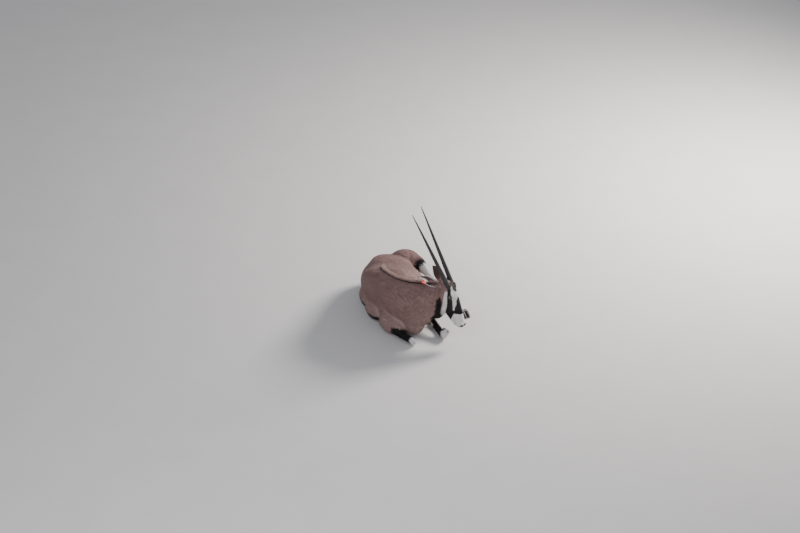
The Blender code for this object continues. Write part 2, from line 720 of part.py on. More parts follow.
def tag_shell(place):
    """A plain ear tag: a panel in the ear's cup, a pin through the ear and a button behind."""
    long, wide, thick = TAG_SIZE
    depth = EAR_DEPTH * (1.0 - 0.62 * TAG_ALONG_EAR)
    at = Vector((EAR_LENGTH * TAG_ALONG_EAR, TAG_ACROSS_EAR, TAG_ABOVE_EAR - depth * 0.55))
    panel = bmesh.new()
    bmesh.ops.create_cube(panel, size=1.0)
    shape = Matrix.Translation(at + Vector((0.0, wide / 2, 0.0))) @ Matrix.Diagonal((long, wide, thick, 1.0))
    bmesh.ops.transform(panel, matrix=place @ shape, verts=panel.verts[:])
    parts = [panel]
    for radius, low, high in (TAG_PIN, TAG_BUTTON):
        disc = bmesh.new()
        bmesh.ops.create_cone(disc, cap_ends=True, segments=12, radius1=radius, radius2=radius,
                              depth=high - low)
        middle = Matrix.Translation(at + Vector((0.0, 0.0, (low + high) / 2)))
        bmesh.ops.transform(disc, matrix=place @ middle, verts=disc.verts[:])
        parts.append(disc)
    return parts


def claw_shell(coronet, toes, front, side):
    """One half of a cloven hoof."""
    forward = Vector(toes).normalized()
    face = Vector(front)
    face = (face - forward * face.dot(forward)).normalized()
    across = face.cross(forward)
    turn = Matrix((forward, across, face)).transposed().to_4x4()
    place = Matrix.Translation(Vector(coronet)) @ turn
    rings = []
    for x, z, half_width, half_height in spline_rows(CLAW_STATIONS, 1):
        centre = Vector((x, side * CLAW_SPACING * (1.0 - 0.10 * max(0.0, x) / 0.07), z))
        ring = section(centre, Vector((1, 0, 0)), UP, half_width, half_height, half_height, 10, 2.6)
        rings.append([place @ point for point in ring])
    return loft(rings)


def material(name):
    colour, rough = COLOURS[name]
    made = bpy.data.materials.new(name)
    made.use_nodes = True
    shader = made.node_tree.nodes["Principled BSDF"]
    shader.inputs["Base Color"].default_value = (*colour, 1.0)
    shader.inputs["Roughness"].default_value = rough
    shader.inputs["Metallic"].default_value = 0.0
    made.diffuse_color = (*colour, 1.0)
    return made


def head_share(point):
    """How far a point belongs to the head: 0 on the neck, 1 on the face."""
    start, heading = CUTS["poll"]
    depth = (point - Vector(start)).dot(Vector(heading).normalized())
    return max(0.0, min(1.0, (depth - FACE_START) / FACE_BLEND))


def whole_flesh():
    """The trunk, neck and head fused into one even skin, flat where it rests on the floor."""
    shells = [trunk_shell()]
    for centre, radii, heading in MUSCLES.values():
        shells.append(ellipsoid(Vector(centre), radii, heading))
    place = head_matrix()
    for shell in face_shells():
        bmesh.ops.transform(shell, matrix=place, verts=shell.verts[:])
        shells.append(shell)
    whole = fuse("whole", shells, BODY_VOXEL)
    body_group = whole.vertex_groups.new(name="body")
    face_group = whole.vertex_groups.new(name="face")
    for vert in whole.data.vertices:
        share = head_share(vert.co)
        body_group.add([vert.index], 1.0 - share, "REPLACE")
        face_group.add([vert.index], share, "REPLACE")
    even(whole, BODY_SMOOTHING, "body")
    even(whole, FACE_SMOOTHING, "face")
    cut_plane(whole, Vector((0.0, 0.0, 0.0)), -UP)
    return whole


def build_flesh():
    """The flesh parted into its lengths, with the mane rooted in those along the crest."""
    whole = whole_flesh()
    mane = object_from("mane", [crest_shell()])
    unite(mane, [object_from("lock", [shell]) for shell in mane_shells()], "MANIFOLD")
    planes = {name: (Vector(point), Vector(heading).normalized())
              for name, (point, heading) in CUTS.items()}
    spans = {
        "hindquarters": (None, "loin"),
        "barrel": ("loin", "girth"),
        "forequarters": ("girth", "neck_root"),
        "neck": ("neck_root", "poll"),
        "head": ("poll", None),
    }
    made = {}
    for name, ends in spans.items():
        piece = duplicate(whole, name)
        hair = duplicate(mane, "hair")
        rims = []
        for end, sense in zip(ends, (-1.0, 1.0)):
            if end:
                point, heading = planes[end]
                outward = heading * sense
                cut_plane(piece, point - outward * GAP / 2, outward, close=False)
                cut_plane(hair, point - outward * GAP, outward)
                rims.append((point - outward * GAP / 2, outward))
        keep_largest(piece)
        thin(piece, FLESH_TRIANGLES[name])
        close_on_planes(piece, rims)
        if name in ("forequarters", "neck", "head") and len(hair.data.polygons):
            unite(piece, [hair], "MANIFOLD")
        else:
            discard([hair])
        made[name] = piece
    discard([whole, mane])
    return made


def build_legs():
    """Each leg below the body, fused from its bones and rounded joints."""
    made = {}
    for name, bones in LEGS.items():
        shells = []
        for rows in bones:
            shells.append(path_loft(rows, UP))
            for x, y, z, half_width, half_depth in (rows[0], rows[-1]):
                shells.append(ellipsoid(Vector((x, y, z)), (half_width, half_width, half_depth)))
        leg = fuse(name, shells, LEG_VOXEL)
        even(leg, LEG_SMOOTHING)
        thin(leg, LEG_TRIANGLES)
        cut_plane(leg, Vector((0.0, 0.0, 0.0)), -UP)
        keep_largest(leg)
        made[name] = leg
    return made


def build_hooves():
    """Two claws for each foot."""
    made = {}
    for name, (coronet, toes, front) in FEET.items():
        for word, side in (("inner", -1), ("outer", 1)):
            label = name.replace("leg", "hoof") + "_" + word
            claw = object_from(label, [claw_shell(coronet, toes, front, side)])
            cut_plane(claw, Vector((0.0, 0.0, 0.0)), -UP)
            keep_largest(claw)
            made[label] = claw
    return made


def build_head(flesh):
    """The lids, nostrils and mouth of the head, and the eyes, horns, ears and tag it carries."""
    place = head_matrix()
    head = flesh["head"]
    head.data.transform(place.inverted())
    unite(head, [object_from("lid", [lid(side, upper)])
                 for side in (-1, 1) for upper in (True, False)])
    hollows = [object_from("hollow", [nostril(side)]) for side in (-1, 1)]
    hollows.append(object_from("hollow", [mouth_groove()]))
    carve(head, hollows)
    discard(hollows)
    made = {}
    for word, side in (("right", -1), ("left", 1)):
        ball = ellipsoid(mirrored(EYE_CENTRE, side), (EYE_RADIUS,) * 3, segments=14, rings=9)
        made["eye_" + word] = object_from("eye_" + word, [ball])
        made["horn_" + word] = object_from("horn_" + word, [horn_shell(word, side)])
    seat([head], list(made.values()))
    for obj in [head, *made.values()]:
        obj.data.transform(place)
    ear_places = {}
    for word in ("right", "left"):
        shell, ear_places[word] = ear_shell(word)
        made["ear_" + word] = object_from("ear_" + word, [shell])
    ears = [made["ear_right"], made["ear_left"]]
    seat([head], ears)
    seat([flesh["neck"]], ears + [made["horn_right"], made["horn_left"]])
    parts = [object_from("tag_part", [part]) for part in tag_shell(ear_places["right"])]
    tag = parts[0]
    tag.name = "ear_tag"
    unite(tag, parts[1:])
    seat([made["ear_right"]], [tag])
    made["ear_tag"] = tag
    return made


def build_tail():
    """The dock of the tail and its long tuft of locks."""
    made = {}
    dock = fuse("tail", [path_loft(TAIL_ROWS[:TAIL_CUT + 2], UP, sides=10)], LEG_VOXEL)
    thin(dock, DOCK_TRIANGLES)
    made["tail"] = dock
    rows = spline_rows(TAIL_ROWS, 4)
    draw = random.Random(11)
    shells = [path_loft(TAIL_ROWS[TAIL_CUT:], UP, sides=8, steps=2)]
    first = TAIL_CUT * 4
    for index in range(TUFT_LOCKS):
        row = first + 1 + (index * 7) // TUFT_LOCKS
        point = Vector(rows[row][:3])
        forward = (Vector(rows[row + 1][:3]) - Vector(rows[row - 1][:3])).normalized()
        side = forward.cross(UP).normalized()
        angle = 2.4 * index
        outward = side * math.cos(angle) + UP * abs(math.sin(angle)) * 0.55
        along = (forward + outward * 0.16).normalized()
        bow = side * draw.uniform(-0.16, 0.16) + UP * -0.02
        root = point + outward * 0.004
        shells.append(lock(root, along, bow, 0.011, 0.0045, TUFT_LENGTH * draw.uniform(0.7, 1.0)))
    parts = [object_from("tuft_part", [shell]) for shell in shells]
    tuft = parts[0]
    tuft.name = "tail_tuft"
    unite(tuft, parts[1:], "MANIFOLD")
    level(tuft)
    made["tail_tuft"] = tuft
    return made


def main():
    for thing in list(bpy.data.objects):
        bpy.data.objects.remove(thing, do_unlink=True)
    flesh = build_flesh()
    legs = build_legs()
    hooves = build_hooves()
    tail = build_tail()
    head = build_head(flesh)
    hinds = [legs["hindleg_left"], legs["hindleg_right"]]
    fores = [legs["foreleg_left"], legs["foreleg_right"]]
    fore_hooves = [claw for name, claw in hooves.items() if name.startswith("fore")]
    right_hind_hooves = [claw for name, claw in hooves.items() if name.startswith("hindhoof_right")]
    seat([flesh["hindquarters"]], hinds + [tail["tail"]])
    seat([flesh["barrel"]], hinds + right_hind_hooves + fore_hooves)
    seat([flesh["forequarters"]], fores + fore_hooves)
    for name, leg in legs.items():
        foot = name.replace("leg", "hoof")
        seat([leg], [claw for label, claw in hooves.items() if label.startswith(foot)])
    seat([tail["tail"]], [tail["tail_tuft"]])
    made = {**flesh, **legs, **hooves, **tail, **head}
    finish = {name: material(name) for name in COLOURS}
    base = bpy.data.objects.new("gemsbok", None)
    bpy.context.scene.collection.objects.link(base)
    corners = [vert.co for obj in made.values() for vert in obj.data.vertices]
    low = [min(point[axis] for point in corners) for axis in range(2)]
    high = [max(point[axis] for point in corners) for axis in range(2)]
    base.location = (-(low[0] + high[0]) / 2, -(low[1] + high[1]) / 2, 0.0)
    for name, obj in made.items():
        kind = "coat"
        for word, slot in (("hoof", "hoof"), ("horn", "horn"), ("eye", "eye"), ("ear_tag", "tag"),
                           ("leg", "legs"), ("tuft", "mane")):
            if word in name:
                kind = slot
        obj.data.materials.clear()
        obj.data.materials.append(finish[kind])
        obj.parent = base


main()
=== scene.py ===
"""The looks of a gemsbok lying on its breast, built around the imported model.

Metres. Shapes are drawn in the animal's own frame, with the rump at +Y and the head turned to +X,
and SHIFT carries them into the model's frame.
"""
import math

import bmesh
import bpy
import numpy as np
from mathutils import Matrix, Vector
from mathutils.bvhtree import BVHTree


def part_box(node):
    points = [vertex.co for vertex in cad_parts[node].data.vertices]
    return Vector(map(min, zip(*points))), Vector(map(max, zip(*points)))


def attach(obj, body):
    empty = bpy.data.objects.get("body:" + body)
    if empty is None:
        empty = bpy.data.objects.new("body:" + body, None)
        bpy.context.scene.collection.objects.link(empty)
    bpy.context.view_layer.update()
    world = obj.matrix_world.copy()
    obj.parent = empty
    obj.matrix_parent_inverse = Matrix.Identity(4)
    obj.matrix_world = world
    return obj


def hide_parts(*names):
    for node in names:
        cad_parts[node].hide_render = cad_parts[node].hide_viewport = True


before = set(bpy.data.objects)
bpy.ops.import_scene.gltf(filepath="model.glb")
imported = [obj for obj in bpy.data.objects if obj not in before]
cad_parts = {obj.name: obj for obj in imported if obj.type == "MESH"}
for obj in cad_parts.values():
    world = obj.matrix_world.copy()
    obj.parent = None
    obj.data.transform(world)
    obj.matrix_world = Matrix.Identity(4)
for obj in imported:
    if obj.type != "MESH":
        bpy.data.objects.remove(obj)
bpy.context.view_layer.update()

UP = Vector((0.0, 0.0, 1.0))
AHEAD = Vector((1.0, 0.0, 0.0))
SIDES = {"right": -1, "left": 1}

# The view: its height over the horizon, the ground point in its middle and the animal's scale
VIEW_ELEVATION = math.radians(28.5)
VIEW_TARGET = Vector((0.142, 1.038, 0.0))
VIEW_DISTANCE = 25.0
PIXELS_PER_METRE = 120.0
IMAGE_WIDTH = 800
SENSOR_WIDTH = 36.0

# Trunk and neck, rump to poll: x, y, half width, top, bottom, lean of the section to the right
TRUNK_STATIONS = [
    (0.105, 0.832, 0.055, 0.185, 0.060, 0.20),
    (0.100, 0.785, 0.125, 0.248, 0.020, 0.26),
    (0.082, 0.690, 0.178, 0.308, -0.010, 0.32),
    (0.082, 0.580, 0.206, 0.358, -0.020, 0.28),
    (0.088, 0.450, 0.242, 0.393, -0.020, 0.30),
    (0.106, 0.320, 0.272, 0.425, -0.020, 0.34),
    (0.112, 0.200, 0.276, 0.460, -0.020, 0.42),
    (0.120, 0.095, 0.242, 0.503, -0.018, 0.45),
    (0.147, 0.000, 0.192, 0.533, -0.014, 0.42),
    (0.190, -0.085, 0.165, 0.535, -0.012, 0.34),
    (0.245, -0.145, 0.142, 0.530, 0.018, 0.24),
    (0.300, -0.180, 0.118, 0.528, 0.072, 0.15),
    (0.360, -0.203, 0.100, 0.530, 0.130, 0.08),
    (0.420, -0.218, 0.085, 0.535, 0.196, 0.03),
    (0.466, -0.226, 0.068, 0.525, 0.238, 0.00),
]
TRUNK_FULLNESS = 2.25
# Muscle masses on the trunk: centre, radii, and the heading of the first radius in degrees
MUSCLES = {
    "right_haunch": ((-0.022, 0.560, 0.130), (0.220, 0.170, 0.150), 98.0),
    "right_thigh": ((-0.090, 0.350, 0.088), (0.180, 0.108, 0.100), 106.0),
    "right_flank": ((-0.045, 0.165, 0.108), (0.190, 0.110, 0.112), 100.0),
    "croup": ((0.148, 0.645, 0.200), (0.150, 0.140, 0.122), 0.0),
    "left_haunch": ((0.182, 0.665, 0.232), (0.148, 0.130, 0.125), 0.0),
    "left_thigh": ((0.238, 0.645, 0.240), (0.118, 0.096, 0.098), -30.0),
    "right_shoulder": ((0.066, -0.045, 0.225), (0.150, 0.080, 0.205), 132.0),
    "right_upper_arm": ((0.072, -0.126, 0.098), (0.138, 0.068, 0.094), 135.0),
    "left_shoulder": ((0.255, 0.010, 0.245), (0.140, 0.088, 0.200), 128.0),
    "left_upper_arm": ((0.318, 0.010, 0.165), (0.115, 0.072, 0.092), 122.0),
    "breast": ((0.250, -0.150, 0.125), (0.105, 0.080, 0.110), 150.0),
    "throat": ((0.448, -0.222, 0.290), (0.066, 0.060, 0.092), 0.0),
}

# Head: x runs from the horns to the nose, y to its left, z out of the forehead
HEAD_ORIGIN = Vector((0.587, -0.228, 0.493))
HEAD_FORWARD = Vector((0.305, -0.280, -0.910))
HEAD_LEFT = Vector((0.450, 0.880, -0.120))
# x, top, bottom, half width
FACE_STATIONS = [
    (-0.090, -0.060, -0.140, 0.036),
    (-0.070, -0.036, -0.160, 0.054),
    (-0.045, -0.014, -0.172, 0.065),
    (-0.015, 0.000, -0.180, 0.069),
    (0.025, 0.004, -0.182, 0.067),
    (0.075, 0.005, -0.178, 0.060),
    (0.125, 0.004, -0.173, 0.050),
    (0.175, 0.002, -0.158, 0.042),
    (0.220, -0.002, -0.141, 0.038),
    (0.258, -0.006, -0.125, 0.039),
    (0.290, -0.010, -0.108, 0.041),
    (0.315, -0.016, -0.086, 0.037),
    (0.332, -0.026, -0.066, 0.026),
    (0.340, -0.036, -0.054, 0.012),
]
FACE_FULLNESS = 2.35
# Brows, cheeks, horn bosses, nose, lips and the knob under each ear: centre and radii on the left side
FACE_FORMS = [
    ((0.056, 0.045, -0.036), (0.042, 0.023, 0.032)),
    ((0.046, 0.047, -0.017), (0.036, 0.018, 0.013)),
    ((0.022, 0.044, -0.122), (0.072, 0.026, 0.052)),
    ((-0.012, 0.031, -0.018), (0.032, 0.027, 0.021)),
    ((0.314, 0.023, -0.034), (0.026, 0.017, 0.020)),
    ((0.292, 0.025, -0.062), (0.040, 0.018, 0.016)),
    ((-0.058, 0.046, -0.078), (0.030, 0.024, 0.030)),
]
CHIN = ((0.276, 0.0, -0.094), (0.042, 0.030, 0.020))
POLL_POINT = Vector((0.430, -0.222, 0.450))
POLL_HEADING = Vector((0.985, -0.10, 0.15)).normalized()
FACE_START = 0.015
FACE_BLEND = 0.070

EYE_CENTRE = Vector((0.060, 0.0535, -0.038))
EYE_RADIUS = 0.0195
EYE_OUT = Vector((0.22, 0.95, 0.20))
IRIS_EDGE = 0.62
EYE_COLOURS = {"ball": (0.014, 0.010, 0.008), "iris": (0.022, 0.010, 0.005), "pupil": (0.002, 0.002, 0.003)}
LID_RADIUS = 0.0042
LID_GAP = 0.0006
LID_SWEEP = 84
# How far the upper and the lower lid's edges lie from the middle, and how full they are
LIDS = [(0.50, 1.0), (-0.42, 0.85)]
NOSTRIL = [Vector((0.339, 0.012, -0.047)), Vector((0.339, 0.025, -0.038)), Vector((0.322, 0.038, -0.027))]
MOUTH_HEIGHT = -0.068
MOUTH_CORNER = 0.232
MOUTH_FRONT = 0.335
MOUTH_SLOPE = 0.10

HORN_ROOT = Vector((0.006, 0.035, -0.030))
HORN_BASE_RADIUS = 0.0215
HORN_TIP_RADIUS = 0.0022
# side, length, degrees outwards at the root and at the tip, degrees back at the root and at the tip
HORNS = {
    "right": (0.752, 14.0, 16.0, 0.0, -0.5),
    "left": (0.732, -1.0, -2.5, 3.5, 3.0),
}
HORN_STEPS = 210
# Rings of a horn: how many, from where to where, their depth, and the place of a ring's crest within it
HORN_RINGS = 24
HORN_RING_START = 0.03
HORN_RING_END = 0.60
HORN_RING_DEPTH = 0.0020
HORN_RING_CREST = 0.62
HORN_ROUNDING = 0.97
HORN_SUNK = 0.022

EAR_LENGTH = 0.205
EAR_WIDTH = 0.046
EAR_DEPTH = 0.026
EAR_THICKNESS = 0.0042
EAR_ROOT_SINK = 0.020
EAR_HAIR_DENSITY = 60000.0
EAR_HAIR_SEEDS = {"right": 32, "left": 31}
# side, root in the head frame, and in the world the directions it points and opens
EARS = {
    "right": (Vector((-0.062, -0.058, -0.100)), Vector((-0.90, -0.03, 0.43)), Vector((0.30, -0.38, 0.87))),
    "left": (Vector((-0.062, 0.046, -0.100)), Vector((-0.50, 0.78, 0.33)), Vector((0.78, 0.20, -0.60))),
}
TAG_SIZE = (0.035, 0.036, 0.0032)
TAG_ALONG_EAR = 0.74
TAG_ACROSS_EAR = 0.016
TAG_ABOVE_EAR = 0.0085
TAG_CORNER = 0.006
TAG_EDGE = 0.0006
TAG_STUD = 0.0058
# Radius, low end and high end
TAG_PIN = (0.0030, -0.016, 0.001)
TAG_BUTTON = (0.0100, -0.0185, -0.0155)

# Legs: rows of x, y, z, half width, half depth along each bone, joined at the joints
LEGS = {
    "foreleg_right": [
        [(0.058, -0.132, 0.102, 0.034, 0.036), (0.104, -0.188, 0.070, 0.034, 0.037),
         (0.170, -0.254, 0.052, 0.027, 0.030), (0.225, -0.304, 0.048, 0.029, 0.031),
         (0.252, -0.330, 0.044, 0.022, 0.024)],
        [(0.254, -0.324, 0.030, 0.024, 0.026), (0.222, -0.276, 0.018, 0.019, 0.019),
         (0.150, -0.176, 0.016, 0.017, 0.018), (0.110, -0.122, 0.020, 0.023, 0.024)],
        [(0.112, -0.126, 0.020, 0.022, 0.023), (0.080, -0.085, 0.018, 0.018, 0.019),
         (0.054, -0.050, 0.020, 0.024, 0.020)],
        [(0.062, -0.115, 0.060, 0.030, 0.036), (0.110, -0.170, 0.044, 0.030, 0.030),
         (0.166, -0.235, 0.036, 0.022, 0.022)],
    ],
    "foreleg_left": [
        [(0.345, 0.050, 0.160, 0.052, 0.056), (0.388, -0.020, 0.134, 0.040, 0.044),
         (0.440, -0.110, 0.096, 0.028, 0.033), (0.488, -0.190, 0.064, 0.029, 0.033),
         (0.508, -0.224, 0.050, 0.023, 0.025)],
        [(0.506, -0.224, 0.030, 0.023, 0.025), (0.480, -0.170, 0.018, 0.019, 0.019),
         (0.440, -0.064, 0.016, 0.017, 0.018), (0.420, -0.006, 0.020, 0.023, 0.024)],
        [(0.422, -0.010, 0.020, 0.022, 0.023), (0.408, 0.034, 0.018, 0.018, 0.019),
         (0.396, 0.070, 0.020, 0.024, 0.020)],
    ],
    "hindleg_left": [
        [(0.240, 0.680, 0.255, 0.064, 0.076), (0.306, 0.602, 0.258, 0.052, 0.066),
         (0.362, 0.498, 0.246, 0.031, 0.040), (0.398, 0.420, 0.230, 0.027, 0.036),
         (0.424, 0.378, 0.216, 0.024, 0.030)],
        [(0.404, 0.398, 0.222, 0.026, 0.032), (0.450, 0.368, 0.196, 0.020, 0.025),
         (0.540, 0.318, 0.126, 0.017, 0.020), (0.612, 0.278, 0.056, 0.019, 0.022),
         (0.640, 0.256, 0.030, 0.025, 0.027)],
        [(0.634, 0.262, 0.032, 0.024, 0.026), (0.660, 0.222, 0.028, 0.020, 0.021),
         (0.676, 0.190, 0.027, 0.026, 0.021)],
    ],
    "hindleg_right": [
        [(0.100, 0.500, 0.045, 0.024, 0.034), (0.190, 0.462, 0.034, 0.019, 0.026),
         (0.280, 0.425, 0.022, 0.018, 0.021), (0.340, 0.402, 0.022, 0.025, 0.025)],
        [(0.335, 0.404, 0.023, 0.024, 0.024), (0.375, 0.392, 0.026, 0.020, 0.020),
         (0.405, 0.384, 0.030, 0.026, 0.020)],
    ],
}
# Where each leg's colours change, counted in bones from its top
LEG_MARKINGS = {
    "foreleg_right": [(0.20, "black"), (0.80, "white")],
    "foreleg_left": [(0.22, "black"), (0.80, "white")],
    "hindleg_left": [(0.25, "black"), (0.37, "white")],
    "hindleg_right": [(-0.1, "white")],
}
# Feet: coronet centre, direction of the toes, direction out of the front of the hoof
FEET = {
    "foreleg_right": ((0.054, -0.050, 0.018), (-0.62, 0.78, -0.20), (-0.10, -0.10, -0.98)),
    "foreleg_left": ((0.396, 0.070, 0.018), (-0.32, 0.94, -0.20), (-0.10, -0.10, -0.98)),
    "hindleg_left": ((0.676, 0.190, 0.036), (0.46, -0.88, -0.10), (-0.02, -0.10, 0.99)),
    "hindleg_right": ((0.405, 0.384, 0.032), (0.96, -0.26, -0.08), (-0.05, -0.10, 0.99)),
}
CLAW_SPACING = 0.0178
CLAW_FULLNESS = 2.6
CLAW_GROOVE = 0.022
# x towards the toe, z, half width, half height
CLAW_STATIONS = [
    (-0.020, -0.006, 0.0085, 0.0095),
    (-0.008, -0.007, 0.0140, 0.0165),
    (0.012, -0.008, 0.0160, 0.0195),
    (0.034, -0.012, 0.0150, 0.0165),
    (0.056, -0.018, 0.0112, 0.0105),
    (0.074, -0.024, 0.0045, 0.0042),
]
# Rings of hair round the top of a claw: x, half width, half height
CORONET_RINGS = [(-0.013, 0.0150, 0.0172), (-0.006, 0.0158, 0.0186), (0.002, 0.0164, 0.0198)]
# A dewclaw: x, distance from the middle of the foot, z, half width, half depth
DEWCLAW_ROWS = [
    (-0.062, 0.011, -0.013, 0.0070, 0.0060),
    (-0.054, 0.013, -0.020, 0.0076, 0.0064),
    (-0.045, 0.014, -0.026, 0.0052, 0.0046),
    (-0.040, 0.014, -0.029, 0.0018, 0.0016),
]

# The tail: x, y, z, half width, half depth
TAIL_ROWS = [
    (0.092, 0.765, 0.190, 0.030, 0.026),
    (0.094, 0.825, 0.178, 0.024, 0.022),
    (0.094, 0.866, 0.130, 0.018, 0.018),
    (0.100, 0.890, 0.072, 0.015, 0.015),
    (0.118, 0.926, 0.034, 0.013, 0.013),
    (0.138, 0.966, 0.025, 0.011, 0.012),
    (0.156, 1.002, 0.021, 0.008, 0.009),
]
TAIL_CUT = 4
TUFT_LOCKS = 150
TUFT_LENGTH = 0.185
TUFT_LOCK_SIZE = (0.0040, 0.0014)

MANE_LOCKS = 170
MANE_LENGTH = 0.064
MANE_LOCK_SIZE = (0.0032, 0.0009)
CREST_HALF_WIDTH = 0.0125
CREST_HEIGHT = 0.016
CREST_SINK = 0.012
CREST_POLL = 13.5
CREST_BACK = 6.33

# The skin: grain of its mesh, smoothing, and how far it lies under the tips of the coat
SKIN_VOXEL = 0.0072
SKIN_SMOOTHING = 28
FINE_VOXEL = 0.0021
FINE_SMOOTHING = 14
COAT_DEPTH = {"body": 0.0034, "leg": 0.0020, "face": 0.0012}

# Colours of the coat, in sRGB
TONES = {
    "fawn": (147, 118, 112),
    "back": (127, 100, 96),
    "pale": (170, 145, 138),
    "black": (13, 12, 12),
    "white": (222, 217, 214),
    "brown": (62, 44, 39),
    "nose": (46, 41, 42),
    # A near-black painted shade for the inside of the nostrils
    "hollow": (5, 4, 4),
    "rim": (26, 21, 20),
}
# Colours of the other finishes, linear
HORN_DARK, HORN_PALE, HORN_DUST = (0.008, 0.007, 0.008), (0.045, 0.041, 0.038), (0.120, 0.105, 0.092)
HOOF_DARK, HOOF_PALE, HOOF_DUST = (0.013, 0.012, 0.011), (0.050, 0.043, 0.038), (0.13, 0.108, 0.092)
TAG_RED, TAG_BLEACHED = (0.60, 0.060, 0.022), (0.74, 0.130, 0.060)
FLOOR_DARK, FLOOR_PALE = (0.52, 0.50, 0.485), (0.56, 0.54, 0.525)
# Lamps: energy, direction from the animal, distance, size and colour
LAMPS = {
    "key": (760.0, (1.22, 0.767, 1.0), 6.0, 2.0, (1.0, 0.96, 0.92)),
    "fill": (200.0, (-0.5, -1.6, 1.1), 7.0, 5.0, (0.92, 0.95, 1.0)),
}
SKY_COLOUR = (0.86, 0.90, 1.0, 1.0)
SKY_STRENGTH = 0.50


def tone(name):
    """One of the named colours as linear numbers."""
    srgb = np.array(TONES[name], float) / 255.0
    return np.where(srgb > 0.04045, ((srgb + 0.055) / 1.055) ** 2.4, srgb / 12.92)


def rise(low, high, value):
    """A smooth step from 0 at low to 1 at high."""
    t = np.clip((np.asarray(value, float) - low) / (high - low), 0.0, 1.0)
    return t * t * (3.0 - 2.0 * t)


def between(low, high, soft, value):
    """1 from low to high, with soft edges."""
    return rise(low - soft, low + soft, value) * (1.0 - rise(high - soft, high + soft, value))


def spline_rows(rows, steps):
    """Rows read from a smooth curve through the given rows, with steps rows for each stretch."""
    smooth = []
    last = len(rows) - 1
    for index in range(last):
        before = rows[max(index - 1, 0)]
        start = rows[index]
        end = rows[index + 1]
        after = rows[min(index + 2, last)]
        for step in range(steps):
            t = step / steps
            smooth.append(tuple(
                0.5 * (2 * b + (c - a) * t + (2 * a - 5 * b + 4 * c - d) * t * t
                       + (3 * b - a - 3 * c + d) * t ** 3)
                for a, b, c, d in zip(before, start, end, after)))
    smooth.append(tuple(rows[-1]))
    return smooth


def section(centre, forward, up, half_width, above, below, sides, fullness, lean=0.0):
    """One closed ring across a part. Lean shifts its top to the animal's right."""
    right = forward.cross(up).normalized()
    ring = []
    for k in range(sides):
        angle = 2 * math.pi * k / sides
        across, height = math.cos(angle), math.sin(angle)
        x = math.copysign(abs(across) ** (2 / fullness), across) * half_width
        z = math.copysign(abs(height) ** (2 / fullness), height) * (above if height > 0 else below)
        ring.append(centre + right * (x + lean * z) + up * z)
    return ring


def loft(rings):
    """A closed shell: circles laid on the rings, bridged, and filled at both ends."""
    shell = bmesh.new()
    loops = []
    for ring in rings:
        verts = bmesh.ops.create_circle(shell, cap_ends=False, segments=len(ring), radius=1.0)["verts"]
        for vert, point in zip(verts, ring):
            vert.co = point
        loops.append(list({edge for vert in verts for edge in vert.link_edges}))
    for lower, upper in zip(loops, loops[1:]):
        bmesh.ops.bridge_loops(shell, edges=lower + upper)
    close_holes(shell)
    bmesh.ops.recalc_face_normals(shell, faces=shell.faces[:])
    return shell


def path_loft(rows, up, sides=14, steps=3, fullness=2.1):
    """A tube through rows of x, y, z, half width and half depth."""
    rows = spline_rows(rows, steps)
    points = [Vector(row[:3]) for row in rows]
    rings = []
    for index, (point, row) in enumerate(zip(points, rows)):
        ahead = points[min(index + 1, len(points) - 1)]
        behind = points[max(index - 1, 0)]
        forward = (ahead - behind).normalized()
        right = forward.cross(up).normalized()
        outward = right.cross(forward).normalized()
        rings.append(section(point, forward, outward, row[3], row[4], row[4], sides, fullness))
    return loft(rings)


def moved(shell, matrix):
    """The same shell after a transform."""
    bmesh.ops.transform(shell, matrix=matrix, verts=shell.verts[:])
    return shell


def ellipsoid(centre, radii, heading=0.0):
    """A closed ellipsoid whose first radius points along a heading, in degrees about Z."""
    shell = bmesh.new()
    bmesh.ops.create_uvsphere(shell, u_segments=24, v_segments=16, radius=1.0)
    turn = Matrix.Rotation(math.radians(heading), 4, "Z")
    return moved(shell, Matrix.Translation(centre) @ turn @ Matrix.Diagonal((*radii, 1.0)))


def shell_from(mesh):
    """A mesh opened as a shell."""
    shell = bmesh.new()
    shell.from_mesh(mesh)
    return shell


def close_shell(shell, mesh):
    """Writes a shell to a mesh and lets the shell go."""
    shell.to_mesh(mesh)
    shell.free()


def taken_back(obj):
    """The shell of an object that isn't needed any more."""
    shell = shell_from(obj.data)
    bpy.data.objects.remove(obj, do_unlink=True)
    return shell


def close_holes(shell):
    """Fills every open loop of a shell."""
    bmesh.ops.holes_fill(shell, edges=[edge for edge in shell.edges if edge.is_boundary], sides=0)


def cut_at_floor(shell):
    """Cuts a shell level with the floor and closes it."""
    everything = shell.verts[:] + shell.edges[:] + shell.faces[:]
    bmesh.ops.bisect_plane(shell, geom=everything, dist=0.00002, plane_co=(0.0, 0.0, 0.0),
                           plane_no=-UP, clear_outer=True)
    close_holes(shell)


def joined(shells):
    """One shell that holds all the given ones."""
    whole = bmesh.new()
    for shell in shells:
        piece = bpy.data.meshes.new("piece")
        close_shell(shell, piece)
        whole.from_mesh(piece)
        bpy.data.meshes.remove(piece)
    return whole


def linked(name, data):
    """A new object in the scene."""
    obj = bpy.data.objects.new(name, data)
    bpy.context.scene.collection.objects.link(obj)
    return obj


def object_from(name, shells):
    """An object that holds all the shells."""
    whole = joined(shells)
    mesh = bpy.data.meshes.new(name)
    close_shell(whole, mesh)
    return linked(name, mesh)


def smooth_object(name, shells, sharp=None):
    """An object with smooth faces, but for the edges sharper than an angle in degrees."""
    obj = object_from(name, shells)
    obj.data.shade_smooth()
    if sharp:
        obj.data.set_sharp_from_angle(angle=math.radians(sharp))
    return obj


def apply_modifiers(obj):
    """Makes an object's modifiers part of its mesh."""
    bpy.context.view_layer.update()
    graph = bpy.context.evaluated_depsgraph_get()
    mesh = bpy.data.meshes.new_from_object(obj.evaluated_get(graph), depsgraph=graph)
    obj.modifiers.clear()
    old = obj.data
    obj.data = mesh
    bpy.data.meshes.remove(old)


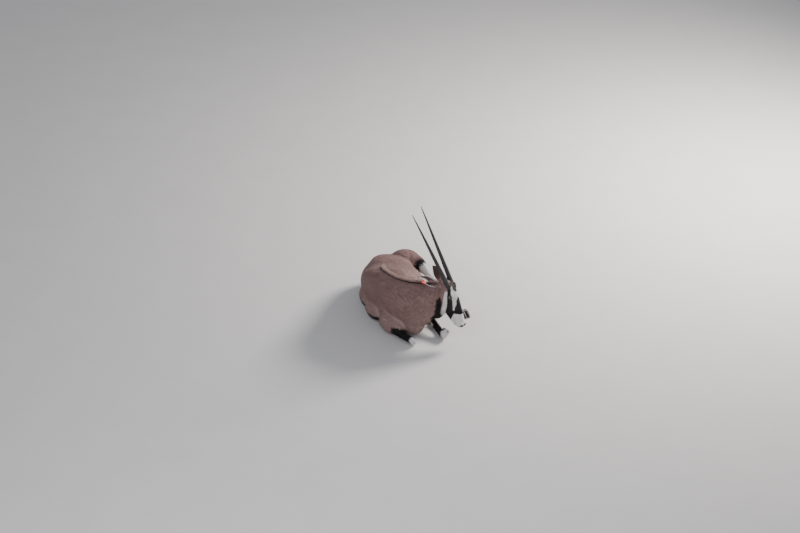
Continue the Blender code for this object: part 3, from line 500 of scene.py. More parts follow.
def even_out(obj, times, group=""):
    """Adds a smoothing step, over the whole mesh or over a vertex group."""
    step = obj.modifiers.new("even", "SMOOTH")
    step.factor = 0.5
    step.iterations = times
    step.vertex_group = group


def fuse(name, shells, voxel, smoothing=0):
    """Fuses overlapping shells into one even skin and smooths it."""
    obj = object_from(name, shells)
    remesh = obj.modifiers.new("fuse", "REMESH")
    remesh.mode = "VOXEL"
    remesh.voxel_size = voxel
    if smoothing:
        even_out(obj, smoothing)
    apply_modifiers(obj)
    return obj


def heading_of(rows, index):
    """The level direction in which rows of x, y and more run on at one of them."""
    ahead = rows[min(index + 1, len(rows) - 1)]
    behind = rows[max(index - 1, 0)]
    return Vector((ahead[0] - behind[0], ahead[1] - behind[1], 0.0)).normalized()


def trunk_shell(first=0):
    """The trunk and neck, lofted through upright sections from a station to the poll."""
    steps = 4
    rows = spline_rows(TRUNK_STATIONS, steps)[first * steps:]
    rings = []
    for index, (x, y, half_width, top, bottom, lean) in enumerate(rows):
        middle = (top + bottom) / 2
        half = (top - bottom) / 2
        rings.append(section(Vector((x, y, middle)), heading_of(rows, index), UP, half_width,
                             half, half, 44, TRUNK_FULLNESS, lean))
    return loft(rings)


TRUNK_STEPS = 6
TRUNK = spline_rows(TRUNK_STATIONS, TRUNK_STEPS)


def crest_at(station):
    """The top of the back and neck at a station: point and heading."""
    place = min(station * TRUNK_STEPS, len(TRUNK) - 1.001)
    index = int(place)
    share = place - index
    x, y, _, top, bottom, lean = (a + (b - a) * share for a, b in zip(TRUNK[index], TRUNK[index + 1]))
    forward = heading_of(TRUNK, index)
    right = forward.cross(UP).normalized()
    half = (top - bottom) / 2
    return Vector((x, y, top)) + right * lean * half, forward


def crest_point(t):
    """The crest at t, from the poll at 0 to behind the withers at 1."""
    return crest_at(CREST_POLL + (CREST_BACK - CREST_POLL) * t)


def crest_shell():
    """The narrow ridge that carries the mane."""
    steps = 24
    rows = []
    for step in range(steps + 1):
        point, _ = crest_point(step / steps)
        share = math.sin(math.pi * (step + 1.2) / (steps + 2.4)) ** 0.5
        rows.append((*(point - UP * CREST_SINK), CREST_HALF_WIDTH * share * 0.9,
                     (CREST_HEIGHT * 0.45 + CREST_SINK) * share))
    return path_loft(rows, UP, sides=12, steps=1)


def head_matrix():
    """The head's frame in the animal's: forwards, left and out of the forehead."""
    forward = HEAD_FORWARD.normalized()
    left = (HEAD_LEFT - forward * HEAD_LEFT.dot(forward)).normalized()
    turn = Matrix((forward, left, forward.cross(left))).transposed().to_4x4()
    return Matrix.Translation(HEAD_ORIGIN) @ turn


def frame_of(origin, ahead, front):
    """A frame at a point, with x ahead and z as near to the front as can be."""
    forward = ahead.normalized()
    face = (front - forward * front.dot(forward)).normalized()
    turn = Matrix((forward, face.cross(forward), face)).transposed().to_4x4()
    return Matrix.Translation(origin) @ turn


HEAD = head_matrix()
HEAD_TURN = np.array(HEAD.to_3x3())


def mirrored(vector, side):
    """A place in the head frame on the right, -1, or as it is on the left, 1."""
    return Vector((vector[0], vector[1] * side, vector[2]))


def in_head(points):
    """Places in the head frame."""
    return (points - np.array(HEAD_ORIGIN)) @ HEAD_TURN


EYE_MODEL = (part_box("eye_left")[0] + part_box("eye_left")[1]) / 2
SHIFT = EYE_MODEL - HEAD @ EYE_CENTRE
SHIFT.z = 0.0


def face_shells():
    """The head: face, brows, cheeks, horn bosses, nose, lips and chin."""
    rings = []
    for x, top, bottom, half_width in spline_rows(FACE_STATIONS, 5):
        middle = top * 0.52 + bottom * 0.48
        rings.append(section(Vector((x, 0.0, middle)), AHEAD, UP, half_width,
                             top - middle, middle - bottom, 40, FACE_FULLNESS))
    shells = [loft(rings)]
    for side in SIDES.values():
        for centre, radii in FACE_FORMS:
            shells.append(ellipsoid(mirrored(centre, side), radii))
    shells.append(ellipsoid(Vector(CHIN[0]), CHIN[1]))
    return [moved(shell, HEAD) for shell in shells]


def eye_axes(side):
    """The directions along the lids, over the eye and out of it, in the head frame."""
    out = mirrored(EYE_OUT, side).normalized()
    along = Vector((1.0, 0.0, -0.12))
    along = (along - out * along.dot(out)).normalized()
    over = out.cross(along)
    return along, over if over.z > 0 else -over, out


def lid(side, opening, fullness):
    """One eyelid: a tapered fold that follows the eyeball from corner to corner."""
    along, over, out = eye_axes(side)
    steps = 12
    rows = []
    for step in range(steps + 1):
        sweep = math.radians(-LID_SWEEP + 2 * LID_SWEEP * step / steps)
        across = math.sin(sweep) * 0.92
        height = math.cos(sweep) * opening
        depth = math.sqrt(max(0.0, 1.0 - across * across - height * height))
        direction = along * across + over * height + out * depth
        spot = mirrored(EYE_CENTRE, side) + direction * (EYE_RADIUS + LID_GAP)
        thick = LID_RADIUS * (0.45 + 0.55 * math.cos(sweep)) * fullness
        rows.append((*spot, thick, thick))
    return moved(path_loft(rows, out, sides=10, steps=1, fullness=2.0), HEAD)


def leg_shells(rows_of_bones):
    """A tube along each bone of a leg, rounded at both ends."""
    shells = []
    for rows in rows_of_bones:
        shells.append(path_loft(rows, UP, sides=20, steps=5))
        for x, y, z, half_width, half_depth in (rows[0], rows[-1]):
            shells.append(ellipsoid(Vector((x, y, z)), (half_width, half_width, half_depth)))
    return shells


def rows_of(collection, name):
    """One vector of each element of a collection, as rows of x, y and z."""
    found = np.empty(len(collection) * 3, np.float32)
    collection.foreach_get(name, found)
    return found.reshape(-1, 3).astype(float)


def positions(mesh):
    return rows_of(mesh.vertices, "co")


def place_vertices(mesh, spots):
    mesh.vertices.foreach_set("co", spots.astype(np.float32).ravel())
    mesh.update()


def normals_of(mesh):
    return rows_of(mesh.vertex_normals, "vector")


def unit(vectors):
    return vectors / np.maximum(np.linalg.norm(vectors, axis=-1, keepdims=True), 1e-9)


TRUNK_HEADING = np.array([heading_of(TRUNK, k) for k in range(len(TRUNK))])
CREST = np.array([crest_at(k / 8)[0] for k in range(14 * 8)])
TAIL_STEPS = 6
LEG_STEPS = 8
FAR = 1e9


class BodyMap:
    """Where points lie on the animal: along the trunk, on the head, down a leg or on the tail."""

    def __init__(self, points):
        self.points = points
        self._trunk()
        self.head = in_head(points)
        depth = (points - np.array(POLL_POINT)) @ np.array(POLL_HEADING)
        near = 1.0 - rise(0.13, 0.17, np.abs(self.head[:, 1]))
        self.face = np.clip((depth - FACE_START) / FACE_BLEND, 0.0, 1.0) * near
        self._legs()
        self._tail()

    def _trunk(self):
        count = len(self.points)
        best = np.full(count, FAR)
        self.station, self.across, self.height = np.zeros((3, count))
        self.heading = np.zeros((count, 3))
        self.crest = np.full(count, FAR)
        for index, (x, y, half_width, top, bottom, lean) in enumerate(TRUNK):
            heading = TRUNK_HEADING[index]
            right = np.array((heading[1], -heading[0], 0.0))
            middle, half = (top + bottom) / 2, (top - bottom) / 2
            z = self.points[:, 2] - middle
            away = self.points - np.array((x, y, 0.0)) - np.outer(z * lean, right)
            distance = np.hypot(away[:, 0], away[:, 1])
            closer = distance < best
            best = np.where(closer, distance, best)
            self.station[closer] = index / TRUNK_STEPS
            self.across[closer] = (away[closer] @ right) / half_width
            self.height[closer] = z[closer] / half
            self.heading[closer] = heading
        for spot in CREST:
            self.crest = np.minimum(self.crest, np.linalg.norm(self.points - spot, axis=1))

    def _legs(self):
        count = len(self.points)
        best = np.full(count, FAR)
        self.leg_bone = np.zeros(count)
        self.leg_name = np.full(count, -1)
        self.leg_heading, self.leg_offset = np.zeros((2, count, 3))
        for number, bones in enumerate(LEGS.values()):
            for bone, rows in enumerate(bones[:3]):
                smooth = np.array(spline_rows(rows, LEG_STEPS))
                headings = unit(np.gradient(smooth[:, :3], axis=0))
                for index, row in enumerate(smooth):
                    thick = max(row[3], row[4])
                    reach = np.linalg.norm(self.points - row[:3], axis=1) / thick
                    closer = reach < best
                    best[closer] = reach[closer]
                    self.leg_bone[closer] = bone + index / (len(smooth) - 1)
                    self.leg_name[closer] = number
                    self.leg_heading[closer] = headings[index]
                    self.leg_offset[closer] = (self.points[closer] - row[:3]) / thick
        slack = 0.45 * rise(0.55, 0.85, self.leg_bone)
        self.leg = 1.0 - rise(1.18, 1.50, best - slack)

    def _tail(self):
        best = np.full(len(self.points), FAR)
        self.tail_along = np.zeros(len(self.points))
        for index, row in enumerate(np.array(spline_rows(TAIL_ROWS, TAIL_STEPS))):
            reach = np.linalg.norm(self.points - row[:3], axis=1) / max(row[3], row[4])
            closer = reach < best
            best[closer] = reach[closer]
            self.tail_along[closer] = index / TAIL_STEPS
        self.tail = 1.0 - rise(1.10, 1.40, best)

    def shares(self):
        """How far each point belongs to the body, the legs and the face."""
        off_face = 1.0 - self.face
        return {"body": off_face * (1.0 - self.leg), "leg": self.leg * off_face, "face": self.face}

    def lie(self, normals):
        """The way the hair lies at each point: back and down the trunk, down the legs and the face."""
        down = np.array((0.0, 0.0, -1.0))
        flow = -self.heading + down * (0.35 + 0.35 * np.abs(self.across))[:, None]
        dock = np.array((0.1, 0.5, -0.8))
        nose = np.array(HEAD_FORWARD.normalized())
        for share, way in ((self.leg, self.leg_heading), (self.tail, dock), (self.face, nose)):
            flow = flow * (1.0 - share[:, None]) + way * share[:, None]
        flow = flow - normals * np.sum(flow * normals, axis=1)[:, None]
        return unit(flow)


def blend(colour, name, share):
    """Lays a named colour over an array of colours."""
    return colour + (tone(name) - colour) * share[:, None]


def segment_distance(points, start, end):
    """How far points lie from a segment, and where along it."""
    start, end = np.array(start), np.array(end)
    run = end - start
    t = np.clip(((points - start) @ run) / (run @ run), 0.0, 1.0)
    return np.linalg.norm(points - start - t[:, None] * run, axis=1), t


def line_share(points, stops, soft):
    """1 on a line of varying half width through stops of x, z and half width."""
    share = np.zeros(len(points))
    for (x0, z0, w0), (x1, z1, w1) in zip(stops, stops[1:]):
        distance, t = segment_distance(points, (x0, z0), (x1, z1))
        width = w0 + (w1 - w0) * t
        share = np.maximum(share, 1.0 - rise(-soft, soft, distance - width))
    return share


# Markings of the trunk, in stations from the rump: from, to and softness
BELLY_SPAN = (2.6, 8.3, 0.45)
BREAST_SPAN = (9.4, 15.0, 0.5)
BELLY_EDGE = 0.004
FLANK_BAND = (0.046, 0.006)
STRIPE_EDGE = 0.004
TAIL_MIDDLE = 0.093
# On the legs: softness of an edge, the front of the shin, and the pale streak on the left arm's side towards
# the key light, white hair and partly a painted highlight
LEG_EDGE = 0.035
SHIN_FRONT = (-0.60, -0.78, 0.15)
SHIN_SPAN = (1.18, 1.80, 0.05)
ARM_LIT_SIDE = (0.62, -0.20, 0.76)
ARM_SPAN = (0.32, 0.74, 0.05)

# The face's markings, seen from its side: x, z and half width
EYE_STRIPE = [(-0.030, -0.016, 0.010), (0.025, -0.030, 0.015), (0.066, -0.040, 0.021), (0.111, -0.058, 0.022),
              (0.156, -0.080, 0.028), (0.205, -0.112, 0.036), (0.240, -0.125, 0.034)]
CHEEK_WHITE = [(0.017, -0.052, 0.013), (0.057, -0.077, 0.017), (0.139, -0.122, 0.019), (0.179, -0.146, 0.019),
               (0.202, -0.160, 0.015)]
JAW_STRAP = [(0.042, -0.121, 0.005), (0.074, -0.133, 0.012), (0.125, -0.156, 0.016), (0.188, -0.188, 0.022),
             (0.215, -0.230, 0.028)]
# The black blaze: its half width at the top, then how much it gains between two places
BLAZE_TOP = 0.002
BLAZE_GAINS = [(0.030, 0.070, 0.118), (0.030, 0.118, 0.175), (0.06, 0.175, 0.205)]
# The muzzle's white edge: its place, the height where it bends, and its slope above and below
MUZZLE_EDGE = 0.230
MUZZLE_BEND = -0.061
MUZZLE_SLOPES = (0.40, 0.97)
MUZZLE_BAND = (-0.030, -0.001, 0.0045)
EYE_RIM = (0.0235, 0.0262)
NOSTRIL_RIM = (0.008, 0.011)
# Where the painted shade inside a nostril starts and ends, by distance from its line
NOSTRIL_SHADE = (0.0035, 0.0065)
LIP_LINE = (0.0016, 0.0034)


def paint(points, body, wobble):
    """The coat's colour at each point, and how bare the skin is there."""
    colour = np.tile(tone("fawn"), (len(points), 1))
    z = points[:, 2]
    colour = blend(colour, "back", 0.75 * rise(0.30, 0.95, body.height))
    colour = blend(colour, "pale", 0.55 * (1.0 - rise(-0.80, 0.10, body.height)))
    left_side = rise(0.10, -0.10, body.across)
    belly = 0.030 + 0.060 * left_side + 0.020 * rise(5.0, 8.5, body.station) + wobble * 0.006
    span = between(*BELLY_SPAN, body.station)
    band, soft = FLANK_BAND
    colour = blend(colour, "white", span * (1.0 - rise(belly - BELLY_EDGE, belly + BELLY_EDGE, z)))
    colour = blend(colour, "black", 0.96 * span * between(belly, belly + band, soft, z))
    breast = between(*BREAST_SPAN, body.station) * (1.0 - body.face)
    throat = (1.0 - rise(0.17, 0.27, np.abs(body.across))) * rise(-0.30, -0.62, body.height)
    colour = blend(colour, "black", 0.95 * breast * throat)
    stripe = 0.010 + 0.016 * rise(3.0, 0.3, body.station) + wobble * 0.002
    dorsal = (1.0 - rise(-STRIPE_EDGE, STRIPE_EDGE, body.crest - stripe)) * rise(0.10, 0.60, body.height)
    colour = blend(colour, "brown", 0.55 * dorsal * rise(3.4, 1.8, body.station))
    colour = blend(colour, "black", 0.92 * dorsal * (1.0 - rise(1.0, 2.0, body.station)))
    colour = blend(colour, "black", body.tail * rise(2.6, 3.8, body.tail_along))
    colour = blend(colour, "black", 0.85 * body.tail * rise(0.012, 0.004, np.abs(points[:, 0] - TAIL_MIDDLE)))
    for number, name in enumerate(LEGS):
        colour = leg_paint(colour, body, wobble, number, name)
    return face_paint(colour, body)


def leg_paint(colour, body, wobble, number, name):
    """One leg's garter, white shank, black shin and dark edge over the hoof."""
    mine = body.leg * (body.leg_name == number)
    for start, mark in LEG_MARKINGS[name]:
        share = mine * rise(start - LEG_EDGE, start + LEG_EDGE, body.leg_bone + wobble * 0.03)
        colour = blend(colour, mark, share)
    if name.startswith("fore"):
        facing = body.leg_offset @ unit(np.array(SHIN_FRONT))
        colour = blend(colour, "black", mine * rise(-0.10, 0.15, facing) * between(*SHIN_SPAN, body.leg_bone))
    # The left arm's pale streak: white hair, and partly a painted highlight on the side towards the key
    # light.
    if name == "foreleg_left":
        facing = body.leg_offset @ unit(np.array(ARM_LIT_SIDE))
        colour = blend(colour, "white", mine * rise(0.60, 0.74, facing) * between(*ARM_SPAN, body.leg_bone))
    last_bone = len(LEGS[name][:3]) - 1
    return blend(colour, "brown", 0.8 * mine * rise(last_bone + 0.84, last_bone + 1.0, body.leg_bone))


def face_paint(colour, body):
    """Blaze, eye stripes, cheek bands, jaw straps and muzzle, the bare nose, lips and lid rims, and a painted
    shade inside the nostrils.
    """
    x, y, z = body.head.T
    side = np.stack([x, z], axis=1)
    near = rise(-0.090, -0.050, x) * rise(0.10, 0.085, np.abs(y)) * rise(-0.34, -0.28, z)
    near = near * rise(0.40, 0.80, body.face + rise(-0.02, 0.03, x) * rise(-0.17, -0.15, z))
    girth = np.abs(y) + 0.62 * np.maximum(0.0, -z - 0.004)
    stripe_height = np.interp(x, [stop[0] for stop in EYE_STRIPE], [stop[1] for stop in EYE_STRIPE])
    crown = near * rise(-0.026, -0.008, x) * rise(-0.006, 0.002, z - stripe_height)
    colour = blend(colour, "white", crown * rise(0.260, 0.230, x))
    colour = blend(colour, "white", near * line_share(side, CHEEK_WHITE, 0.004))
    patch = near * between(-0.052, 0.034, 0.006, x)
    patch = patch * rise(0.036, 0.029, np.abs(y) + 0.55 * np.maximum(x, 0.0))
    colour = blend(colour, "black", 0.97 * patch * rise(-0.06, -0.04, z))
    width = BLAZE_TOP
    for gain, start, end in BLAZE_GAINS:
        width = width + gain * rise(start, end, x)
    blaze = near * rise(0.068, 0.080, x) * (1.0 - rise(-0.0035, 0.0035, girth - width))
    above, below = MUZZLE_SLOPES
    border = MUZZLE_EDGE + above * np.maximum(z, MUZZLE_BEND) + below * np.maximum(0.0, MUZZLE_BEND - z)
    past = x - border
    band = near * between(*MUZZLE_BAND, past)
    colour = blend(colour, "black", 0.98 * blaze * rise(0.236, 0.226, x))
    colour = blend(colour, "black", 0.98 * band)
    stripe = near * line_share(side, EYE_STRIPE, 0.0035) * rise(0.020, 0.032, np.abs(y))
    colour = blend(colour, "black", 0.98 * stripe * (1.0 - rise(-0.004, 0.004, past)))
    strap = line_share(side, JAW_STRAP, 0.005) * rise(0.13, 0.11, np.abs(y))
    colour = blend(colour, "black", 0.96 * strap * rise(0.05, 0.25, body.face + rise(0.02, 0.05, x)))
    colour = blend(colour, "white", near * rise(-0.004, 0.004, past) * (1.0 - band))
    pad = near * rise(0.312, 0.322, x + 0.3 * np.minimum(0.0, 0.016 - np.abs(y))) * rise(-0.064, -0.056, z)
    nostril = nostril_distance(body)
    eye_rim = np.zeros(len(x))
    for sign in SIDES.values():
        centre = np.array(mirrored(EYE_CENTRE, sign))
        eye_rim = np.maximum(eye_rim, 1.0 - rise(*EYE_RIM, np.linalg.norm(body.head - centre, axis=1)))
    lips = near * rise(0.226, 0.244, x) * (1.0 - rise(*LIP_LINE, np.abs(z - mouth_line(x))))
    bare = np.clip(pad + (1.0 - rise(*NOSTRIL_RIM, nostril)), 0.0, 1.0)
    colour = blend(colour, "nose", bare)
    # Painted shade: the inside of each nostril pit is made near black.
    colour = blend(colour, "hollow", 1.0 - rise(*NOSTRIL_SHADE, nostril))
    colour = blend(colour, "nose", 0.6 * lips)
    colour = blend(colour, "rim", 0.85 * eye_rim)
    return colour, np.clip(bare + lips + eye_rim, 0.0, 1.0)


def nostril_distance(body):
    """How far each point is from the comma-shaped nostrils."""
    best = np.full(len(body.head), 1.0)
    for side in SIDES.values():
        stops = [mirrored(stop, side) for stop in NOSTRIL]
        for start, end in zip(stops, stops[1:]):
            best = np.minimum(best, segment_distance(body.head, start, end)[0])
    return best


def mouth_line(x):
    """The height of the line of the mouth along the face."""
    return MOUTH_HEIGHT - MOUTH_SLOPE * (MOUTH_FRONT - x)


NOISE_VALUES = 4096
NOISE_HASH = np.array((73, 179, 283))


def value_noise(points, size, seed):
    """Smooth noise from about -1 to 1 at a grain of the given size."""
    draw = np.random.default_rng(seed)
    table = draw.uniform(-1.0, 1.0, NOISE_VALUES)
    grid = points / size
    base = np.floor(grid).astype(int)
    part = grid - base
    part = part * part * (3.0 - 2.0 * part)
    total = np.zeros(len(points))
    for corner in range(8):
        step = np.array([corner & 1, corner >> 1 & 1, corner >> 2 & 1])
        key = ((base + step) @ NOISE_HASH) % NOISE_VALUES
        total += np.prod(np.where(step, part, 1.0 - part), axis=1) * table[key]
    return total


def fine_head():
    """The head and the top of the neck in fine grain, with lids, as a tree to snap the skin onto."""
    throat, radii, _ = MUSCLES["throat"]
    head = fuse("fine_head", [trunk_shell(9), ellipsoid(Vector(throat), radii), *face_shells()],
                FINE_VOXEL, FINE_SMOOTHING)
    lids = [lid(side, *shape) for side in SIDES.values() for shape in LIDS]
    shell = taken_back(fuse("fine_head", [taken_back(head), *lids], FINE_VOXEL * 0.9, 2))
    tree = BVHTree.FromBMesh(shell)
    shell.free()
    return tree


# Where the skin's mesh is made finer: behind, half width and below, on the face and on nose and mouth
FACE_ZONE = (-0.03, 0.10, -0.21)
NOSE_ZONE = (0.215, 0.08, -0.14)
EYE_ZONE = 0.036


def within(spot, zone):
    """Whether a place in the head frame lies in a zone."""
    behind, wide, below = zone
    return spot.x > behind and abs(spot.y) < wide and spot.z > below


def refine_face(mesh):
    """Splits the skin's faces on the head, twice round the eyes, nose and mouth."""
    shell = shell_from(mesh)
    to_head = HEAD.inverted()

    def on_face(point):
        beyond = (point - POLL_POINT).dot(POLL_HEADING) > FACE_START
        return beyond and within(to_head @ point, FACE_ZONE)

    def on_detail(point):
        spot = to_head @ point
        if within(spot, NOSE_ZONE):
            return True
        return min((spot - mirrored(EYE_CENTRE, side)).length for side in SIDES.values()) < EYE_ZONE

    for test in (on_face, on_detail):
        edges = [edge for edge in shell.edges if test((edge.verts[0].co + edge.verts[1].co) / 2)]
        bmesh.ops.subdivide_edges(shell, edges=edges, cuts=1, use_grid_fill=True)
    bmesh.ops.triangulate(shell, faces=shell.faces[:])
    close_shell(shell, mesh)


def snap_face(mesh):
    """Lays the head's part of the skin onto the fine head, fading out along the neck."""
    tree = fine_head()
    spots = positions(mesh)
    share = BodyMap(spots).face
    for index in np.nonzero(share > 0.0)[0]:
        found = tree.find_nearest(Vector(spots[index]))[0]
        if found:
            spots[index] += (np.array(found) - spots[index]) * share[index]
    place_vertices(mesh, spots)


# Creases of the hide: two ends, depth and reach
CREASES = [
    ((-0.120, 0.215, 0.150), (-0.060, 0.330, 0.215), 0.007, 0.030),
    ((-0.060, 0.330, 0.215), (0.010, 0.455, 0.262), 0.004, 0.034),
    ((0.020, -0.020, 0.330), (-0.045, 0.060, 0.180), 0.005, 0.030),
    ((-0.045, 0.060, 0.180), (-0.070, 0.090, 0.060), 0.005, 0.026),
    ((0.120, -0.185, 0.300), (0.160, -0.200, 0.150), 0.004, 0.026),
    ((0.395, -0.120, 0.420), (0.410, -0.130, 0.320), 0.002, 0.026),
    ((0.350, -0.098, 0.420), (0.372, -0.108, 0.290), 0.002, 0.030),
    ((0.290, 0.330, 0.270), (0.330, 0.420, 0.220), 0.004, 0.026),
]
# Ribs, the hide's lumps, the slit of the mouth and the nostrils
RIB_STATIONS = (3.6, 7.4, 0.7)
RIB_HEIGHTS = (0.05, 0.72, 0.20)
RIB_SPACING = 0.047
RIB_SWELL = 0.0006
LUMP_SIZE = 0.045
LUMP_SWELL = 0.0012
MOUTH_DEPTH = 0.0034
MOUTH_GAP = 0.0040
NOSTRIL_DEPTH = 0.0105
NOSTRIL_WALL = (0.0028, 0.0068)


def mould_hide(spots, normals, body):
    """Presses creases, ribs, nostrils and the mouth into the skin."""
    depth = np.zeros(len(spots))
    for start, end, deep, reach in CREASES:
        depth += deep * (1.0 - rise(0.0, reach, segment_distance(spots, start, end)[0]))
    ribs = between(*RIB_STATIONS, body.station) * between(*RIB_HEIGHTS, body.height)
    wave = np.cos(2 * np.pi * (spots[:, 1] - 0.25 * spots[:, 2]) / RIB_SPACING)
    depth -= RIB_SWELL * ribs * wave * (1.0 - body.leg)
    depth -= LUMP_SWELL * value_noise(spots, LUMP_SIZE, 5) * (1.0 - body.face) * (1.0 - body.leg)
    mouth = rise(MOUTH_CORNER - 0.012, MOUTH_CORNER + 0.006, body.head[:, 0])
    gap = np.abs(body.head[:, 2] - mouth_line(body.head[:, 0]))
    depth += MOUTH_DEPTH * mouth * (1.0 - rise(0.0, MOUTH_GAP, gap)) * (body.face > 0.9)
    spots = spots - normals * depth[:, None]
    side = np.sign(body.head[:, 1])
    inwards = np.stack([np.full(len(spots), -0.85), -0.45 * side, np.full(len(spots), -0.10)], axis=1)
    pit = NOSTRIL_DEPTH * (1.0 - rise(*NOSTRIL_WALL, nostril_distance(body)))
    return spots + (inwards @ HEAD_TURN.T) * pit[:, None]


def flatten_on_floor(mesh):
    """Cuts the skin level where it rests on the floor."""
    shell = shell_from(mesh)
    cut_at_floor(shell)
    bmesh.ops.triangulate(shell, faces=shell.faces[:])
    close_shell(shell, mesh)


def keep_largest(mesh):
    """Keeps only the largest surface of a mesh."""
    shell = shell_from(mesh)
    unseen = set(shell.faces)
    islands = []
    while unseen:
        island = [unseen.pop()]
        for face in island:
            for edge in face.edges:
                for other in edge.link_faces:
                    if other in unseen:
                        unseen.discard(other)
                        island.append(other)
        islands.append(island)
    islands.sort(key=len)
    scraps = [face for island in islands[:-1] for face in island]
    bmesh.ops.delete(shell, geom=scraps, context="FACES")
    close_shell(shell, mesh)


def make_torso():
    """Trunk, neck and head fused and smoothed, the head less so."""
    shells = [trunk_shell(), crest_shell()]
    for centre, radii, heading in MUSCLES.values():
        shells.append(ellipsoid(Vector(centre), radii, heading))
    torso = fuse("skin", shells + face_shells(), SKIN_VOXEL)
    group = torso.vertex_groups.new(name="body")
    for index, amount in enumerate(BodyMap(positions(torso.data)).face):
        group.add([index], 1.0 - amount, "REPLACE")
    even_out(torso, SKIN_SMOOTHING, "body")
    apply_modifiers(torso)
    return taken_back(torso)


def make_skin():
    """One skin over trunk, neck, head, legs and dock."""
    torso = make_torso()
    limbs = [shell for bones in LEGS.values() for shell in leg_shells(bones)]
    limbs.append(path_loft(TAIL_ROWS[:TAIL_CUT + 2], UP, sides=14))
    skin = fuse("skin", [torso, *limbs], SKIN_VOXEL, 3)
    skin.vertex_groups.clear()
    keep_largest(skin.data)
    refine_face(skin.data)
    snap_face(skin.data)
    spots = positions(skin.data)
    body = BodyMap(spots)
    spots = mould_hide(spots, normals_of(skin.data), body)
    place_vertices(skin.data, spots)
    inset = (COAT_DEPTH["body"] * (1.0 - body.face) * (1.0 - body.leg) + COAT_DEPTH["leg"] * body.leg
             + COAT_DEPTH["face"] * body.face)
    place_vertices(skin.data, spots - normals_of(skin.data) * inset[:, None])
    flatten_on_floor(skin.data)
    skin.data.shade_smooth()
    return skin


def set_attribute(mesh, name, kind, values):
    """Writes one value or colour for each vertex."""
    made = mesh.attributes.new(name, kind, "POINT")
    if kind == "FLOAT_COLOR":
        full = np.ones((len(values), 4), np.float32)
        full[:, :3] = values
        made.data.foreach_set("color", full.ravel())
    else:
        made.data.foreach_set("value", np.asarray(values, np.float32))


def paint_skin(skin):
    spots = positions(skin.data)
    body = BodyMap(spots)
    colour, bare = paint(spots, body, value_noise(spots, 0.012, 3))
    # The hide is painted at 0.86 of the coat's colour, a painted shade under the tufts.
    set_attribute(skin.data, "paint", "FLOAT_COLOR", colour * 0.86)
    set_attribute(skin.data, "bare", "FLOAT", bare)


def tuft_form():
    """A three-sided tapered tuft, standing on the origin, as places and triangles."""
    shell = bmesh.new()
    bmesh.ops.create_cone(shell, cap_ends=True, segments=3, radius1=1.0, radius2=0.0, depth=1.0)
    bmesh.ops.translate(shell, verts=shell.verts[:], vec=(0.0, 0.0, 0.5))
    everything = shell.verts[:] + shell.edges[:] + shell.faces[:]
    bmesh.ops.bisect_plane(shell, geom=everything, dist=0.00001, plane_co=(0.0, 0.0, 0.48), plane_no=UP)
    return triangles_of(shell)


def mesh_from(name, places, faces):
    """A mesh object from arrays of places and triangles."""
    mesh = bpy.data.meshes.new(name)
    mesh.vertices.add(len(places))
    mesh.vertices.foreach_set("co", places.astype(np.float32).ravel())
    mesh.loops.add(faces.size)
    mesh.loops.foreach_set("vertex_index", faces.astype(np.int32).ravel())
    mesh.polygons.add(len(faces))
    mesh.polygons.foreach_set("loop_start", np.arange(0, faces.size, 3, dtype=np.int32))
    mesh.update(calc_edges=True)
    mesh.validate()
    return linked(name, mesh)


def triangles_of(shell):
    """A shell's places and triangles as arrays; the shell goes."""
    bmesh.ops.triangulate(shell, faces=shell.faces[:])
    shell.verts.index_update()
    places = np.array([vert.co for vert in shell.verts])
    faces = np.array([[vert.index for vert in face.verts] for face in shell.faces])
    shell.free()
    return places, faces


def repeated(faces, count, step):
    """The triangles of many equal forms in a row, each with the given number of places."""
    return (faces[None, :, :] + (np.arange(count) * step)[:, None, None]).reshape(-1, 3)


TUFT_PLACES, TUFT_FACES = tuft_form()
# A tuft's swell, thickness against its width, bend and levelling, and its painted shade from root to tip:
# darker at the root, where the coat shades it, and lighter at the tip
TUFT_SWELL = 0.9
TUFT_THICKNESS = 0.30
TUFT_BEND = 1.9
TUFT_LEVELLING = 0.45
TUFT_PAINTED_SHADE = (0.84, 0.30)
TUFT_CLEARANCE = 0.0004
LOCK_CLEARANCE = 0.0006
PATCH = 0.003


def make_tufts(name, roots, normals, flow, length, width, lift, colour, atlas, sink=0.0005):
    """Tufts that leave their roots low, bend over and lie along the flow, joined into one piece."""
    sideways = unit(np.cross(normals, flow))
    along = TUFT_PLACES[:, 2]
    taper = 1.0 + TUFT_SWELL * along * (1.0 - along)
    across = TUFT_PLACES[:, 0] * taper
    thick = TUFT_PLACES[:, 1] * taper
    bend = TUFT_BEND * along * (1.0 - TUFT_LEVELLING * along)
    places = (roots[:, None, :] - normals[:, None, :] * sink
              + sideways[:, None, :] * (across[None, :] * width[:, None] * 0.5)[:, :, None]
              + normals[:, None, :] * ((thick[None, :] * TUFT_THICKNESS * width[:, None])
                                       + bend[None, :] * lift[:, None])[:, :, None]
              + flow[:, None, :] * (along[None, :] * length[:, None])[:, :, None])
    places = places.reshape(-1, 3)
    places[:, 2] = np.maximum(places[:, 2], TUFT_CLEARANCE)
    # Painted shade and light: each tuft is darkened at its root and lightened at its tip.
    shade = TUFT_PAINTED_SHADE[0] + TUFT_PAINTED_SHADE[1] * along
    tint = (colour[:, None, :] * shade[None, :, None]).reshape(-1, 3)
    faces = repeated(TUFT_FACES, len(roots), len(TUFT_PLACES))
    return hair_piece(name, places, faces, tint, atlas, along, TUFT_PLACES[:, 0])


